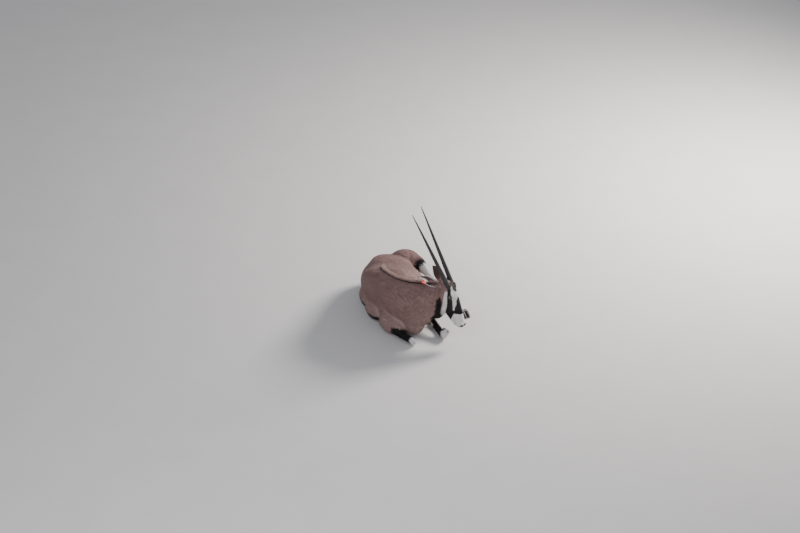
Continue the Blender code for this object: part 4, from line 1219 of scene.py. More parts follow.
def hair_piece(name, places, faces, tint, atlas, along, across):
    """A piece of many strands, each with a small patch at its root's place on the unwrap of the skin."""
    obj = mesh_from(name, places, faces)
    set_attribute(obj.data, "paint", "FLOAT_COLOR", tint)
    spread = np.stack([(along - 0.5) * PATCH, across * PATCH * 0.4], axis=1)
    corners = (atlas[:, None, :] + spread[None, :, :]).reshape(-1, 2)
    layer = obj.data.uv_layers.new(name="OFBake")
    layer.data.foreach_set("uv", corners[faces.ravel()].astype(np.float32).ravel())
    obj.data.shade_smooth()
    return obj


# Strips of the unwrap: its first place and width along a part, and the same round it
TRUNK_STRIP = (0.02, 0.94, 0.02, 0.42)
FACE_STRIP = (0.02, 0.90, 0.47, 0.22)
LEG_STRIP = (0.02, 0.30, 0.72, 0.045)
LEG_STRIP_STEP = 0.06
ATLAS_MARGIN = 0.003


def strip(layout, along, around):
    """Places on one strip of the unwrap."""
    first, length, low, width = layout
    return np.stack([first + length * along, low + width * around], axis=1)


def unwrap(body):
    """Places on a plain unwrap of the skin: a strip each for the trunk, the head and each leg."""
    turn = np.arctan2(body.height, body.across) / (2 * np.pi) + 0.5
    place = strip(TRUNK_STRIP, body.station / 14.0, turn)
    x, y, z = body.head.T
    face_turn = np.arctan2(z + 0.08, y) / (2 * np.pi) + 0.5
    place = np.where((body.face > 0.5)[:, None], strip(FACE_STRIP, (x + 0.10) / 0.46, face_turn), place)
    x, y, z = body.points.T
    swing = np.mod(np.arctan2(z - 0.03, x * 0.8 - y * 0.6), 1.0)
    for number in range(len(LEGS)):
        on_leg = strip(LEG_STRIP, body.leg_bone, swing) + np.array((0.0, LEG_STRIP_STEP * number))
        place = np.where(((body.leg > 0.5) & (body.leg_name == number))[:, None], on_leg, place)
    return np.clip(place, ATLAS_MARGIN, 1.0 - ATLAS_MARGIN)


def scatter(mesh, density, seed):
    """Places spread over a mesh's triangles: points, normals."""
    mesh.calc_loop_triangles()
    corners = np.empty(len(mesh.loop_triangles) * 3, np.int32)
    mesh.loop_triangles.foreach_get("vertices", corners)
    corners = corners.reshape(-1, 3)
    spots = positions(mesh)
    normals = normals_of(mesh)
    a, b, c = spots[corners[:, 0]], spots[corners[:, 1]], spots[corners[:, 2]]
    area = 0.5 * np.linalg.norm(np.cross(b - a, c - a), axis=1)
    wanted = area * density[corners].mean(axis=1)
    draw = np.random.default_rng(seed)
    count = int(wanted.sum())
    chosen = draw.choice(len(corners), size=count, p=wanted / wanted.sum())
    u, v = draw.uniform(size=count), draw.uniform(size=count)
    flip = u + v > 1.0
    u, v = np.where(flip, 1.0 - u, u), np.where(flip, 1.0 - v, v)
    w = 1.0 - u - v
    mix = np.stack([w, u, v], axis=1)[:, :, None]
    points = (spots[corners[chosen]] * mix).sum(axis=1)
    found = unit((normals[corners[chosen]] * mix).sum(axis=1))
    return points, found


# Tufts per square metre, and their length, width and lift, on the body, the legs and the face
COAT = {
    "body": (31000.0, 0.0215, 0.0029, 0.0026),
    "leg": (52000.0, 0.0130, 0.0022, 0.0014),
    "face": (105000.0, 0.0080, 0.0015, 0.0009),
}
PIECE_TUFTS = 19000


# Differences from tuft to tuft
SIZES = (0.75, 1.25)
BRIGHTNESS = (0.86, 1.12)
BARE_LIMIT = 0.25
SOLE_HEIGHT = 0.006
UNDERSIDE = -0.97


def strayed(flow, normals, draw, amount):
    """Directions turned a little to either side, each by its own draw."""
    turn = draw.normal(0.0, amount, len(flow))
    return unit(flow + np.cross(normals, flow) * turn[:, None])


def make_coat(skin):
    """The short fur: tufts over the whole skin, in pieces from the rump to the head."""
    spots = positions(skin.data)
    body = BodyMap(spots)
    normals = normals_of(skin.data)
    _, bare = paint(spots, body, np.zeros(len(spots)))
    density = sum(COAT[name][0] * share for name, share in body.shares().items())
    density = density * (spots[:, 2] > SOLE_HEIGHT) * (bare < BARE_LIMIT) * (normals[:, 2] > UNDERSIDE)
    points, found = scatter(skin.data, density, 21)
    body = BodyMap(points)
    draw = np.random.default_rng(22)
    size = draw.uniform(*SIZES, len(points))
    length, width, lift = (sum(COAT[name][k] * share for name, share in body.shares().items()) * size
                           for k in (1, 2, 3))
    muzzle = rise(0.19, 0.30, body.head[:, 0]) * body.face
    length = length * (1.0 - 0.45 * muzzle)
    flow = strayed(body.lie(found), found, draw, 0.09)
    colour, _ = paint(points + flow * 0.004, body, value_noise(points, 0.010, 3))
    colour = colour * draw.uniform(*BRIGHTNESS, len(points))[:, None]
    atlas = unwrap(body)
    order = np.argsort(body.station + 20.0 * body.face, kind="stable")
    pieces = []
    for number, chunk in enumerate(np.array_split(order, math.ceil(len(order) / PIECE_TUFTS))):
        values = (value[chunk] for value in (points, found, flow, length, width, lift, colour, atlas))
        pieces.append(make_tufts(f"coat_{number + 1}", *values))
    return pieces


def lock(root, along, bow, width, thickness, length, rows=7):
    """One flat tapered lock that leaves its root along a direction and bends towards the bow."""
    rings = []
    for row in range(rows):
        t = row / (rows - 1)
        centre = root + along * (length * t) + bow * (length * t * t)
        tangent = (along + bow * (2 * t)).normalized()
        side = tangent.cross(bow).normalized()
        face = side.cross(tangent).normalized()
        wide = width * (1.0 - 0.93 * t ** 1.4) * (0.70 + 1.0 * t * (1 - t))
        thick = thickness * (1.0 - 0.85 * t)
        rings.append([centre + side * wide, centre + face * thick,
                      centre - side * wide, centre - face * thick])
    return np.array(rings)


def make_locks(name, locks, tints):
    """Many locks joined into one piece, each with the colours of its root and tip."""
    rows, sides = locks[0].shape[0], locks[0].shape[1]
    form = loft([[Vector(point) for point in ring] for ring in locks[0]])
    _, faces = triangles_of(form)
    places = np.concatenate([rings.reshape(-1, 3) for rings in locks])
    places[:, 2] = np.maximum(places[:, 2], LOCK_CLEARANCE)
    along = np.repeat(np.linspace(0.0, 1.0, rows), sides)
    tint = np.concatenate([root + (tip - root) * (along ** 1.2)[:, None] for root, tip in tints])
    centre = np.array([rings[0].mean(axis=0) for rings in locks])
    low, high = centre.min(axis=0), centre.max(axis=0)
    x, y, z = ((centre - low) / np.maximum(high - low, 1e-6)).T
    atlas = strip((0.02, 0.96, 0.02, 0.96), y, 0.7 * x + 0.3 * z)
    across = np.tile(np.cos(np.arange(sides) * 2 * np.pi / sides), rows)
    return hair_piece(name, places, repeated(faces, len(locks), rows * sides), tint, atlas, along, across)


def make_mane():
    """Short locks over the crest, lying back and outwards: brown at the root and pale fawn at the tip as
    painted sunlight, and black to brown on the right side as painted shade.
    """
    draw = np.random.default_rng(7)
    locks = []
    tints = []
    for index in range(MANE_LOCKS):
        for lane in (-1.0, -0.5, 0.0, 0.5, 1.0):
            t = min(1.0, max(0.0, (index + draw.uniform(0.0, 1.0)) / MANE_LOCKS))
            point, forward = crest_point(t)
            right = forward.cross(UP).normalized()
            grown = 0.62 + 0.45 * math.sin(math.pi * min(1.0, t * 1.2 + 0.1))
            size = MANE_LENGTH * grown * draw.uniform(0.66, 1.10) * (1.0 - 0.12 * abs(lane))
            tilt = lane * 0.34 + draw.normal(0.0, 0.07)
            along = (UP * 0.60 - forward * (0.80 + draw.normal(0.0, 0.08)) + right * tilt).normalized()
            bow = UP * -0.26 - forward * 0.12 + right * (tilt * 0.35 + 0.01)
            root = point - UP * (0.004 + 0.004 * abs(lane)) + right * lane * CREST_HALF_WIDTH * 0.85
            width = MANE_LOCK_SIZE[0] * draw.uniform(0.8, 1.3)
            locks.append(lock(root, along, bow, width, MANE_LOCK_SIZE[1], size, rows=6))
            bright = draw.uniform(0.85, 1.15)
            # Painted light: the right-hand lane is darkened as painted shade, and the other lanes' tips are
            # lightened as painted sunlight, over a mane that is itself dark.
            if lane == 1.0:
                tints.append((tone("black") * bright, tone("brown") * 0.8 * bright))
            else:
                tints.append((tone("brown") * 1.3 * bright, tone("fawn") * 1.40 * bright))
    return make_locks("mane", locks, tints)


def make_tail_tuft():
    """The long black tuft at the end of the tail, laid along the floor."""
    draw = np.random.default_rng(11)
    steps = 8
    rows = [Vector(row[:3]) for row in spline_rows(TAIL_ROWS, steps)]
    first = TAIL_CUT * steps - 6
    locks = []
    tints = []
    for index in range(TUFT_LOCKS):
        row = first + 1 + (index * (len(rows) - first - 4)) // TUFT_LOCKS
        forward = (rows[row + 1] - rows[row - 1]).normalized()
        side = forward.cross(UP).normalized()
        angle = 2.4 * index
        outward = side * math.cos(angle) + UP * abs(math.sin(angle)) * 0.55
        along = (forward + outward * draw.uniform(0.06, 0.20)).normalized()
        bow = side * draw.uniform(-0.18, 0.18) + UP * -0.03
        size = TUFT_LENGTH * draw.uniform(0.55, 1.0)
        width = TUFT_LOCK_SIZE[0] * draw.uniform(0.7, 1.3)
        locks.append(lock(rows[row] + outward * 0.005, along, bow, width, TUFT_LOCK_SIZE[1], size, rows=9))
        bright = draw.uniform(0.8, 1.3)
        tints.append((tone("black") * bright, tone("black") * bright * 1.3))
    return make_locks("tail_tuft_hair", locks, tints)


def horn_rings(word):
    """The rings of one horn, swelling and pinching over its lower part."""
    side = SIDES[word]
    length, *angles = HORNS[word]
    out_root, out_tip, back_root, back_tip = (math.radians(angle) for angle in angles)
    rings = []
    for step in range(HORN_STEPS + 1):
        t = (step / HORN_STEPS) ** 1.08
        spread = out_root + (out_tip - out_root) * t
        back = back_root + (back_tip - back_root) * t
        direction = Vector((-math.cos(back) * math.cos(spread), side * math.sin(spread),
                            -math.sin(back) * math.cos(spread)))
        centre = mirrored(HORN_ROOT, side) + direction * length * t
        radius = HORN_TIP_RADIUS + (HORN_BASE_RADIUS - HORN_TIP_RADIUS) * (1 - t) ** 0.8
        if t > HORN_ROUNDING:
            radius *= math.sqrt(max(0.02, 1.0 - ((t - HORN_ROUNDING) / 0.03) ** 2))
        phase = (t - HORN_RING_START) / ((HORN_RING_END - HORN_RING_START) / HORN_RINGS)
        wave = 0.0
        if 0.0 < phase < HORN_RINGS:
            part = phase % 1.0
            saw = part / HORN_RING_CREST if part < HORN_RING_CREST else (1.0 - part) / 0.38
            fade = min(1.0, phase / 1.5) * (1.0 - 0.72 * phase / HORN_RINGS)
            wave = HORN_RING_DEPTH * fade * (1.9 * saw ** 1.3 - 0.75)
        sunk = max(0.0, 1.0 - t / HORN_SUNK)
        radius *= 1.0 - 0.30 * sunk * sunk
        centre = centre + Vector((0.006, -0.005 * side, -0.007)) * sunk
        ring = section(centre, direction, Vector((0, 1, 0)), radius, radius * 0.94, radius * 0.94, 28, 2.0)
        lumpy = []
        for k, point in enumerate(ring):
            angle = 2 * math.pi * k / len(ring)
            swell = wave * (0.72 + 0.28 * math.cos(angle + 0.9 * side))
            swell = swell + 0.00025 * math.sin(7 * angle + 40 * t)
            lumpy.append(point + (point - centre).normalized() * swell)
        rings.append(lumpy)
    return rings


def make_horn(word):
    horn = smooth_object(f"horn_{word}_ringed", [moved(loft(horn_rings(word)), HEAD)])
    root = np.array(mirrored(HORN_ROOT, SIDES[word]))
    reach = np.linalg.norm(in_head(positions(horn.data)) - root, axis=1) / HORNS[word][0]
    set_attribute(horn.data, "along", "FLOAT", reach)
    return horn


def make_horn_collars():
    """Short hair that rises against the foot of each horn."""
    strands = []
    turn = HEAD.to_3x3()
    for word in SIDES:
        rings = horn_rings(word)
        for row, step in ((3, 1), (6, 1), (9, 2)):
            ring, ahead = rings[row], rings[row + 4]
            centre = sum(ring, Vector()) / len(ring)
            for k in range(0, len(ring), step):
                outward = (ring[k] - centre).normalized()
                strands.append((HEAD @ (ring[k] + outward * 0.0004), turn @ outward,
                                turn @ (ahead[k] - ring[k]).normalized()))
    points, radial, flow = np.array(strands).transpose(1, 0, 2)
    body = BodyMap(points)
    colour, _ = paint(points, body, np.zeros(len(points)))
    draw = np.random.default_rng(41)
    size = draw.uniform(0.7, 1.3, len(points))
    flow = strayed(flow, radial, draw, 0.12)
    return make_tufts("horn_collars", points, radial, flow, 0.015 * size, 0.0028 * size, 0.0012 * size,
                      colour, unwrap(body), sink=0.0016)


def ear_frame(word):
    """The frame of an ear: x towards its tip and z out of its cup."""
    root, pointing, opening = EARS[word]
    return frame_of(HEAD @ root - pointing.normalized() * EAR_ROOT_SINK, pointing, opening)


def in_frame(points, place):
    return (points - np.array(place.translation)) @ np.array(place.to_3x3())


def ear_profile(t):
    """Half width, depth of the cup and filling at a share of the ear's length."""
    width = EAR_WIDTH * (0.36 + 1.02 * math.sin(math.pi * min(1.0, t * 0.86 + 0.06)) ** 1.1) * 0.78
    width *= math.sqrt(max(0.03, 1.0 - max(0.0, (t - 0.62) / 0.38) ** 2.2))
    depth = EAR_DEPTH * (1.0 - 0.62 * t) * (0.75 + 0.5 * math.sin(math.pi * min(1.0, t * 1.3)))
    return width, min(depth, width * 0.95), max(0.0, 1.0 - t / 0.20)


def make_ear(word):
    """A leaf-shaped ear with a deep cup, rolled thin rims, and its markings."""
    place = ear_frame(word)
    steps, spans = 40, 20
    rings = []
    for step in range(steps + 1):
        t = step / steps
        width, depth, solid = ear_profile(t)
        outer = []
        inner = []
        for k in range(spans + 1):
            s = -1.0 + 2.0 * k / spans
            y = width * math.sin(s * 1.25) / math.sin(1.25)
            back = -depth * (1.0 - s * s) - 0.0009
            wall = EAR_THICKNESS * (0.50 + 0.50 * (1 - s * s)) * (1.0 - 0.35 * t) * 0.92
            front = back + wall + (depth + 0.006 - wall) * solid * (1 - 0.5 * s * s)
            ridge = 0.0011 * math.cos(s * 9.0) * (1.0 - solid) * (1.0 - t) * (1.0 - s * s)
            length = EAR_LENGTH * t - 0.012 * s * s * t
            outer.append((length, y, back))
            inner.append((length, y * 0.97, front + ridge))
        rings.append([place @ Vector(point) for point in outer + inner[::-1]])
    shell = loft(rings)
    bmesh.ops.remove_doubles(shell, verts=shell.verts[:], dist=0.00005)
    ear = smooth_object(f"ear_{word}_cup", [shell])
    colour, _ = ear_paint(in_frame(positions(ear.data), place))
    set_attribute(ear.data, "paint", "FLOAT_COLOR", colour)
    set_attribute(ear.data, "bare", "FLOAT", np.zeros(len(colour)))
    return ear


def ear_paint(local):
    """White in the cup with dark streaks, brown behind from a fawn root, and pale rims."""
    t = np.clip(local[:, 0] / EAR_LENGTH, 0.0, 1.0)
    shape = np.array([ear_profile(value)[:2] for value in t])
    s = np.clip(local[:, 1] / shape[:, 0], -1.0, 1.0)
    back = -shape[:, 1] * (1.0 - s * s)
    inside = rise(0.0008, 0.0022, local[:, 2] - back)
    colour = np.tile(tone("fawn"), (len(t), 1))
    colour = blend(colour, "brown", rise(0.08, 0.50, t) * 0.85)
    colour = blend(colour, "brown", 0.75 * rise(0.10, 0.45, t) * (1.0 - rise(0.15, 0.55, np.abs(s + 0.1))))
    cup = np.tile(tone("white"), (len(t), 1)) * 0.92
    streak = 1.0 - rise(0.10, 0.22, np.abs(s - 0.28))
    streak = np.maximum(streak, 1.0 - rise(0.08, 0.20, np.abs(s + 0.40)))
    cup = cup + (tone("brown") * 0.8 - cup) * (0.9 * streak * between(0.16, 0.86, 0.06, t))[:, None]
    colour = colour + (cup - colour) * inside[:, None]
    rim = rise(0.76, 0.92, np.abs(s)) * rise(0.16, 0.28, t)
    return blend(colour, "white", 0.9 * rim * (1.0 - 0.8 * rise(0.90, 0.98, t))), inside


def make_ear_hair(word, ear):
    """Fur on an ear: short behind, and longer white hair from the rims into the cup."""
    place = ear_frame(word)
    turn = np.array(place.to_3x3())
    ahead = (positions(ear.data) - np.array(place.translation)) @ turn[:, 0]
    density = EAR_HAIR_DENSITY * (ahead > 0.15 * EAR_LENGTH)
    points, found = scatter(ear.data, density, EAR_HAIR_SEEDS[word])
    local = in_frame(points, place)
    colour, inside = ear_paint(local)
    t = np.clip(local[:, 0] / EAR_LENGTH, 0.0, 1.0)
    s = np.clip(local[:, 1] / np.array([ear_profile(value)[0] for value in t]), -1.0, 1.0)
    inward = np.outer(-s, turn[:, 1])
    flow = turn[:, 0] + inward * (0.9 * inside * rise(0.35, 0.8, np.abs(s)))[:, None]
    flow = unit(flow - found * np.sum(flow * found, axis=1)[:, None])
    draw = np.random.default_rng(33)
    size = draw.uniform(0.7, 1.25, len(points))
    length = (0.0075 + 0.0125 * inside * rise(0.4, 0.85, np.abs(s))) * size
    length = length * (0.35 + 0.65 * rise(0.96, 0.80, local[:, 0] / EAR_LENGTH))
    colour = colour * draw.uniform(*BRIGHTNESS, len(points))[:, None]
    atlas = strip((0.02, 0.9, 0.25, 1.0), t, 0.2 * s + 0.45 * inside)
    atlas = np.clip(atlas, ATLAS_MARGIN, 1.0 - ATLAS_MARGIN)
    return make_tufts(f"ear_{word}_hair", points, found, flow, length, 0.0014 * size, 0.0009 * size,
                      colour, atlas, sink=0.0006)


def bevelled(shell, edges, size, segments):
    """Rounds some of a shell's edges."""
    bmesh.ops.bevel(shell, geom=edges, offset=size, offset_type="OFFSET", segments=segments, profile=0.5,
                    affect="EDGES", material=-1)


def make_tag():
    """A plain ear tag: a panel with rounded corners in the cup, a pin through the ear, a button behind."""
    long, wide, thick = TAG_SIZE
    depth = EAR_DEPTH * (1.0 - 0.62 * TAG_ALONG_EAR)
    at = Vector((EAR_LENGTH * TAG_ALONG_EAR, TAG_ACROSS_EAR, TAG_ABOVE_EAR - depth * 0.55))
    shape = Matrix.Translation(at + Vector((0.0, wide / 2, 0.0))) @ Matrix.Diagonal((long, wide, thick, 1.0))
    panel = bmesh.new()
    bmesh.ops.create_cube(panel, size=1.0)
    moved(panel, shape)
    upright = [edge for edge in panel.edges if abs(edge.verts[0].co.z - edge.verts[1].co.z) > thick / 2]
    bevelled(panel, upright, TAG_CORNER, 5)
    bevelled(panel, panel.edges[:], TAG_EDGE, 2)
    parts = [panel]
    for radius, low, high in (TAG_PIN, TAG_BUTTON):
        disc = bmesh.new()
        bmesh.ops.create_cone(disc, cap_ends=True, segments=32, radius1=radius, radius2=radius,
                              depth=high - low)
        rim = [edge for edge in disc.edges if abs(edge.verts[0].co.z - edge.verts[1].co.z) < 0.0001]
        bevelled(disc, rim, TAG_EDGE, 3)
        parts.append(moved(disc, Matrix.Translation(at + Vector((0.0, 0.0, (low + high) / 2)))))
    stud = bmesh.new()
    bmesh.ops.create_uvsphere(stud, u_segments=24, v_segments=12, radius=TAG_STUD)
    bmesh.ops.scale(stud, verts=stud.verts[:], vec=(1.0, 1.0, 0.35))
    parts.append(moved(stud, Matrix.Translation(at + Vector((0.0, 0.006, thick / 2)))))
    place = ear_frame("right")
    return smooth_object("ear_tag_panel", [moved(part, place) for part in parts], 40)


def foot_place(name):
    """The frame of a foot: x towards the toes and z out of the front of the hoof."""
    return frame_of(*(Vector(value) for value in FEET[name]))


def make_claws(name):
    """Both halves of a cloven hoof, with rounded walls, growth rings and a flat sole."""
    place = foot_place(name)
    claws = {}
    for word, side in (("inner", -1), ("outer", 1)):
        rings = []
        for index, (x, z, half_width, half_height) in enumerate(spline_rows(CLAW_STATIONS, 9)):
            centre = Vector((x, side * CLAW_SPACING * (1.0 - 0.10 * max(0.0, x) / 0.07), z))
            groove = 1.0 - CLAW_GROOVE * (index % 4 == 0)
            ring = section(centre, AHEAD, UP, half_width * groove, half_height * groove,
                           half_height, 24, CLAW_FULLNESS)
            rings.append([place @ point for point in ring])
        shell = loft(rings)
        cut_at_floor(shell)
        label = name.replace("leg", "hoof") + "_" + word
        claws[label] = smooth_object(label + "_wall", [shell], 50)
    return claws


def make_coronet_hair():
    """White hair that falls over the top of every claw."""
    strands = []
    for name in FEET:
        place = foot_place(name)
        turn = place.to_3x3()
        for side in SIDES.values():
            for x, half_width, half_height in CORONET_RINGS:
                centre = Vector((x, side * CLAW_SPACING, -0.0075))
                ring = section(centre, AHEAD, UP, half_width, half_height, half_height, 26, CLAW_FULLNESS)
                for point in ring:
                    spot = place @ point
                    if spot.z > 0.005 and (point - centre).y * side > -0.011:
                        strands.append((spot, (turn @ (point - centre)).normalized(), turn @ AHEAD))
    points, radial, flow = np.array(strands).transpose(1, 0, 2)
    draw = np.random.default_rng(51)
    size = draw.uniform(0.65, 1.25, len(points))
    flow = strayed(flow, radial, draw, 0.14)
    colour = np.tile(tone("white"), (len(points), 1)) * draw.uniform(0.8, 1.0, len(points))[:, None]
    return make_tufts("coronet_hair", points, radial, flow, 0.025 * size, 0.0034 * size, 0.0022 * size,
                      colour, unwrap(BodyMap(points)), sink=0.0014)


def make_dewclaws():
    """The small false hooves behind each pastern, all in one piece."""
    parts = []
    for name in FEET:
        for side in SIDES.values():
            rows = [(x, side * y, *rest) for x, y, *rest in DEWCLAW_ROWS]
            shell = moved(path_loft(rows, UP, sides=14, steps=4), foot_place(name))
            for vert in shell.verts:
                vert.co.z = max(vert.co.z, LOCK_CLEARANCE)
            parts.append(shell)
    return smooth_object("dewclaws", parts)


def make_eye(word):
    """A dark eyeball with a clear swell over its horizontal pupil."""
    side = SIDES[word]
    ball = bmesh.new()
    bmesh.ops.create_uvsphere(ball, u_segments=64, v_segments=40, radius=1.0)
    spots = []
    for vert in ball.verts:
        swell = 1.0 + 0.045 * max(0.0, (vert.co.z - IRIS_EDGE) / 0.38) ** 1.3
        spots.append(vert.co.copy())
        vert.co = vert.co * EYE_RADIUS * 0.985 * swell
    turn = Matrix(eye_axes(side)).transposed().to_4x4()
    moved(ball, HEAD @ Matrix.Translation(mirrored(EYE_CENTRE, side)) @ turn)
    eye = smooth_object(f"eye_{word}_ball", [ball])
    x, y, z = np.array(spots).T
    iris = rise(IRIS_EDGE, 0.70, z)
    pupil = (1.0 - rise(0.85, 1.10, np.hypot(x / 0.42, y / 0.22))) * (z > 0)
    colour = np.tile(np.array(EYE_COLOURS["ball"]), (len(spots), 1))
    for name, share in (("iris", iris), ("pupil", pupil)):
        colour = colour + (np.array(EYE_COLOURS[name]) - colour) * share[:, None]
    set_attribute(eye.data, "paint", "FLOAT_COLOR", colour)
    return eye


class Sum:
    """A socket on which plain expressions add their nodes."""

    def __init__(self, tree, socket):
        self.tree = tree
        self.socket = socket

    def math(self, operation, other, swap=False):
        first, second = (other, self) if swap else (self, other)
        made = add(self.tree, "ShaderNodeMath", {"operation": operation}, {0: first, 1: second})
        return Sum(self.tree, made.outputs[0])

    def __add__(self, other):
        return self.math("ADD", other)

    __radd__ = __add__

    def __sub__(self, other):
        return self.math("SUBTRACT", other)

    def __rsub__(self, other):
        return self.math("SUBTRACT", other, swap=True)

    def __mul__(self, other):
        return self.math("MULTIPLY", other)

    __rmul__ = __mul__


def add(tree, kind, settings=None, values=None):
    """One node: its settings first, then the values or links of its sockets."""
    made = tree.nodes.new(kind)
    for name, value in (settings or {}).items():
        setattr(made, name, value)
    for name, value in (values or {}).items():
        if isinstance(value, Sum):
            tree.links.new(value.socket, made.inputs[name])
        else:
            made.inputs[name].default_value = value
    return made


class Finish:
    """A material whose sockets are filled from expressions."""

    def __init__(self, name, roughness, **constants):
        self.material = bpy.data.materials.new(name)
        self.material.use_nodes = True
        self.tree = self.material.node_tree
        self.shader = self.tree.nodes["Principled BSDF"]
        self.shader.inputs["Roughness"].default_value = roughness
        for socket, value in constants.items():
            self.shader.inputs[socket.replace("_", " ")].default_value = value
        self.place = self.node("ShaderNodeTexCoord", "Object")

    def node(self, kind, output, settings=None, values=None):
        """One output of a new node."""
        return Sum(self.tree, add(self.tree, kind, settings, values).outputs[output])

    def colour_of(self, name):
        return self.node("ShaderNodeAttribute", "Color", {"attribute_name": name})

    def value_of(self, name):
        return self.node("ShaderNodeAttribute", "Fac", {"attribute_name": name})

    def noise(self, scale, stretch=(1.0, 1.0, 1.0), turn=(0.0, 0.0, 0.0), detail=3.0):
        mapped = self.node("ShaderNodeMapping", 0, {"vector_type": "POINT"},
                           {"Vector": self.place, "Scale": stretch, "Rotation": turn})
        values = {"Vector": mapped, "Scale": scale, "Detail": detail}
        return self.node("ShaderNodeTexNoise", "Fac", {}, values)

    def ramp(self, share, stops):
        """A number read off a ramp of (place, value) stops."""
        made = add(self.tree, "ShaderNodeValToRGB", {}, {"Fac": share})
        elements = made.color_ramp.elements
        while len(elements) < len(stops):
            elements.new(0.5)
        for element, (place, value) in zip(elements, stops):
            element.position = place
            element.color = (value, value, value, 1.0)
        return Sum(self.tree, made.outputs["Color"])

    def mix(self, first, second, share):
        """A colour between two others."""
        first, second = (value if isinstance(value, Sum) else (*value, 1.0) for value in (first, second))
        return self.node("ShaderNodeMix", 2, {"data_type": "RGBA"}, {0: share, 6: first, 7: second})

    def tinted(self, colour, factor):
        """A colour made lighter or darker by a number."""
        return self.node("ShaderNodeVectorMath", 0, {"operation": "SCALE"}, {0: colour, "Scale": factor})

    def feed(self, name, value):
        self.tree.links.new(value.socket, self.shader.inputs[name])

    def roughen(self, height, strength, distance):
        """Lets a height show in the surface through a bump."""
        values = {"Height": height, "Strength": strength, "Distance": distance}
        self.feed("Normal", self.node("ShaderNodeBump", 0, {}, values))


def skin_finish():
    """Short sleek hair on the hide, and bare moist skin at the nose, lips and lids."""
    made = Finish("coat_hide", 0.62, Specular_IOR_Level=0.26)
    bare = made.value_of("bare")
    patches = made.noise(9.0, detail=4.0)
    strands = made.noise(420.0, (1.0, 0.16, 0.30), (0.10, 0.0, 0.0), 2.0)
    flecks = made.noise(900.0, (1.0, 0.20, 0.40), (0.0, 0.12, 0.0), 1.0)
    made.feed("Base Color", made.tinted(made.colour_of("paint"), 0.70 + patches * 0.20 + strands * 0.38))
    made.feed("Roughness", made.ramp(bare, [(0.0, 0.66), (1.0, 0.34)]))
    pebbles = made.node("ShaderNodeTexVoronoi", "Distance", {}, {"Vector": made.place, "Scale": 420.0})
    hairy = (strands + flecks * 0.5) * (1.0 - bare)
    made.roughen(hairy + pebbles * bare, 0.75, 0.0012)
    return made.material


def hair_finish(name, roughness):
    """Locks and tufts: the painted colour with fine strands."""
    made = Finish(name, roughness, Specular_IOR_Level=0.26)
    patches = made.noise(11.0, detail=3.0)
    strands = made.noise(650.0, (1.0, 0.30, 0.40), (0.2, 0.1, 0.0), 2.0)
    made.feed("Base Color", made.tinted(made.colour_of("paint"), 0.78 + patches * 0.22 + strands * 0.22))
    made.roughen(strands, 0.45, 0.0008)
    return made.material


def horn_finish():
    """Dark horn with long cracks, dusty hollows between the rings and a polished tip."""
    made = Finish("horn", 0.42, Coat_Roughness=0.25, Specular_IOR_Level=0.5)
    along = made.value_of("along")
    fibres = made.noise(260.0, (1.0, 1.0, 0.06), (0.0, 0.30, 0.0), 4.0)
    dust = made.noise(46.0, detail=5.0)
    paler = made.ramp(fibres, [(0.30, 0.10), (0.72, 1.0)])
    base = made.mix(HORN_DARK, HORN_PALE, paler * 0.60)
    worn = made.ramp(dust, [(0.46, 0.0), (0.76, 1.0)]) * made.ramp(along, [(0.05, 0.80), (0.60, 0.05)])
    made.feed("Base Color", made.mix(base, HORN_DUST, worn * 0.45))
    made.feed("Roughness", made.ramp(along, [(0.0, 0.60), (0.55, 0.46), (0.85, 0.26)]) + worn * 0.2)
    made.feed("Coat Weight", made.ramp(along, [(0.45, 0.05), (0.90, 0.45)]))
    made.roughen(fibres + dust * 0.5, 0.55, 0.0010)
    return made.material


def hoof_finish():
    """Dark hoof with growth lines and scuffed, dusty edges."""
    made = Finish("hoof", 0.48, Specular_IOR_Level=0.45)
    fibres = made.noise(320.0, (1.0, 0.5, 0.2), detail=3.0)
    scuffs = made.noise(70.0, detail=5.0)
    base = made.mix(HOOF_DARK, HOOF_PALE, fibres)
    made.feed("Base Color", made.mix(base, HOOF_DUST, made.ramp(scuffs, [(0.52, 0.0), (0.85, 0.7)])))
    made.feed("Roughness", 0.36 + scuffs * 0.35)
    made.roughen(fibres + scuffs, 0.5, 0.0008)
    return made.material


def eye_finish():
    made = Finish("eye", 0.06, Coat_Weight=1.0, Coat_Roughness=0.02, Specular_IOR_Level=0.6)
    rays = made.noise(900.0, detail=2.0)
    made.feed("Base Color", made.tinted(made.colour_of("paint"), 0.75 + rays * 0.5))
    return made.material


def tag_finish():
    """Orange-red moulded plastic, slightly sun-bleached and scuffed."""
    made = Finish("tag_plastic", 0.38, Specular_IOR_Level=0.5)
    bleach = made.noise(60.0, detail=4.0)
    grain = made.noise(1400.0, detail=2.0)
    made.feed("Base Color", made.mix(TAG_RED, TAG_BLEACHED, bleach))
    made.feed("Roughness", 0.30 + bleach * 0.25)
    made.roughen(grain, 0.25, 0.0003)
    return made.material


def floor_finish():
    made = Finish("floor_plain", 0.9)
    made.feed("Base Color", made.mix(FLOOR_DARK, FLOOR_PALE, made.noise(3.0, detail=2.0)))
    return made.material


def finish_piece(piece, material, slot, *nodes):
    """Moves a piece into the model's frame, gives it its finish, hangs it under the root, and hides the
    model's parts that it replaces.
    """
    piece.data.transform(Matrix.Translation(SHIFT))
    piece.data.materials.clear()
    piece.data.materials.append(material)
    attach(piece, "root")
    if nodes:
        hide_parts(*nodes)


def make_floor():
    shell = bmesh.new()
    bmesh.ops.create_grid(shell, x_segments=4, y_segments=4, size=30.0)
    floor = object_from("floor", [shell])
    floor.data.materials.append(floor_finish())


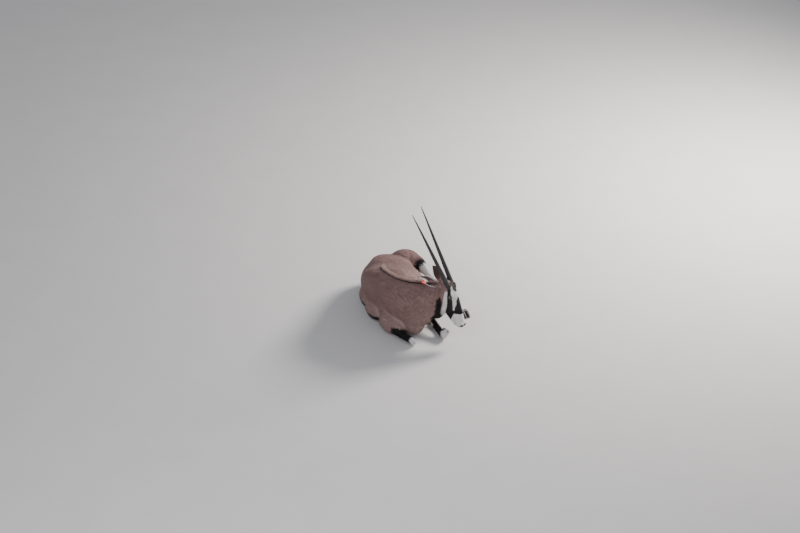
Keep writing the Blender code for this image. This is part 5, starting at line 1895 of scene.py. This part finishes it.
def make_lights():
    """Soft lamps that shine on the animal, and a pale sky."""
    for name, (energy, towards, distance, size, colour) in LAMPS.items():
        data = bpy.data.lights.new(name, "AREA")
        data.energy = energy
        data.color = colour
        data.shape = "DISK"
        data.size = size
        direction = Vector(towards).normalized()
        lamp = linked(name, data)
        lamp.location = direction * distance
        lamp.rotation_euler = (-direction).to_track_quat("-Z", "Y").to_euler()
    world = bpy.data.worlds.new("studio")
    bpy.context.scene.world = world
    world.use_nodes = True
    sky = world.node_tree.nodes["Background"]
    sky.inputs["Color"].default_value = SKY_COLOUR
    sky.inputs["Strength"].default_value = SKY_STRENGTH


def make_camera():
    data = bpy.data.cameras.new("photo_view")
    camera = linked("photo_view", data)
    away = Vector((0.0, -math.cos(VIEW_ELEVATION), math.sin(VIEW_ELEVATION)))
    camera.location = VIEW_TARGET + SHIFT + away * VIEW_DISTANCE
    camera.rotation_euler = (math.pi / 2 - VIEW_ELEVATION, 0.0, 0.0)
    data.sensor_width = SENSOR_WIDTH
    to_animal = VIEW_DISTANCE - math.cos(VIEW_ELEVATION)
    data.lens = PIXELS_PER_METRE * to_animal * SENSOR_WIDTH / IMAGE_WIDTH
    data.clip_end = 200.0
    bpy.context.scene.camera = camera


def main():
    make_camera()
    skin = make_skin()
    paint_skin(skin)
    coat = hair_finish("coat_hair", 0.60)
    long_hair = hair_finish("long_hair", 0.50)
    horn, hoof, eye = horn_finish(), hoof_finish(), eye_finish()
    hide = skin_finish()
    for piece in make_coat(skin):
        finish_piece(piece, coat, "coat")
    for word in SIDES:
        ear = make_ear(word)
        finish_piece(make_ear_hair(word, ear), coat, "coat")
        finish_piece(ear, hide, "coat", "ear_" + word)
        finish_piece(make_horn(word), horn, "horn", "horn_" + word)
        finish_piece(make_eye(word), eye, "eye", "eye_" + word)
    finish_piece(make_horn_collars(), coat, "coat")
    finish_piece(make_coronet_hair(), coat, "coat")
    for name in FEET:
        for label, claw in make_claws(name).items():
            finish_piece(claw, hoof, "hoof", label)
    finish_piece(make_dewclaws(), hoof, "hoof")
    finish_piece(make_tag(), tag_finish(), "tag", "ear_tag")
    finish_piece(make_mane(), long_hair, "long_hair")
    finish_piece(make_tail_tuft(), long_hair, "long_hair", "tail_tuft")
    finish_piece(skin, hide, "coat", "hindquarters", "barrel", "forequarters", "neck", "head",
                 "foreleg_left", "foreleg_right", "hindleg_left", "hindleg_right", "tail")
    make_floor()
    make_lights()


main()
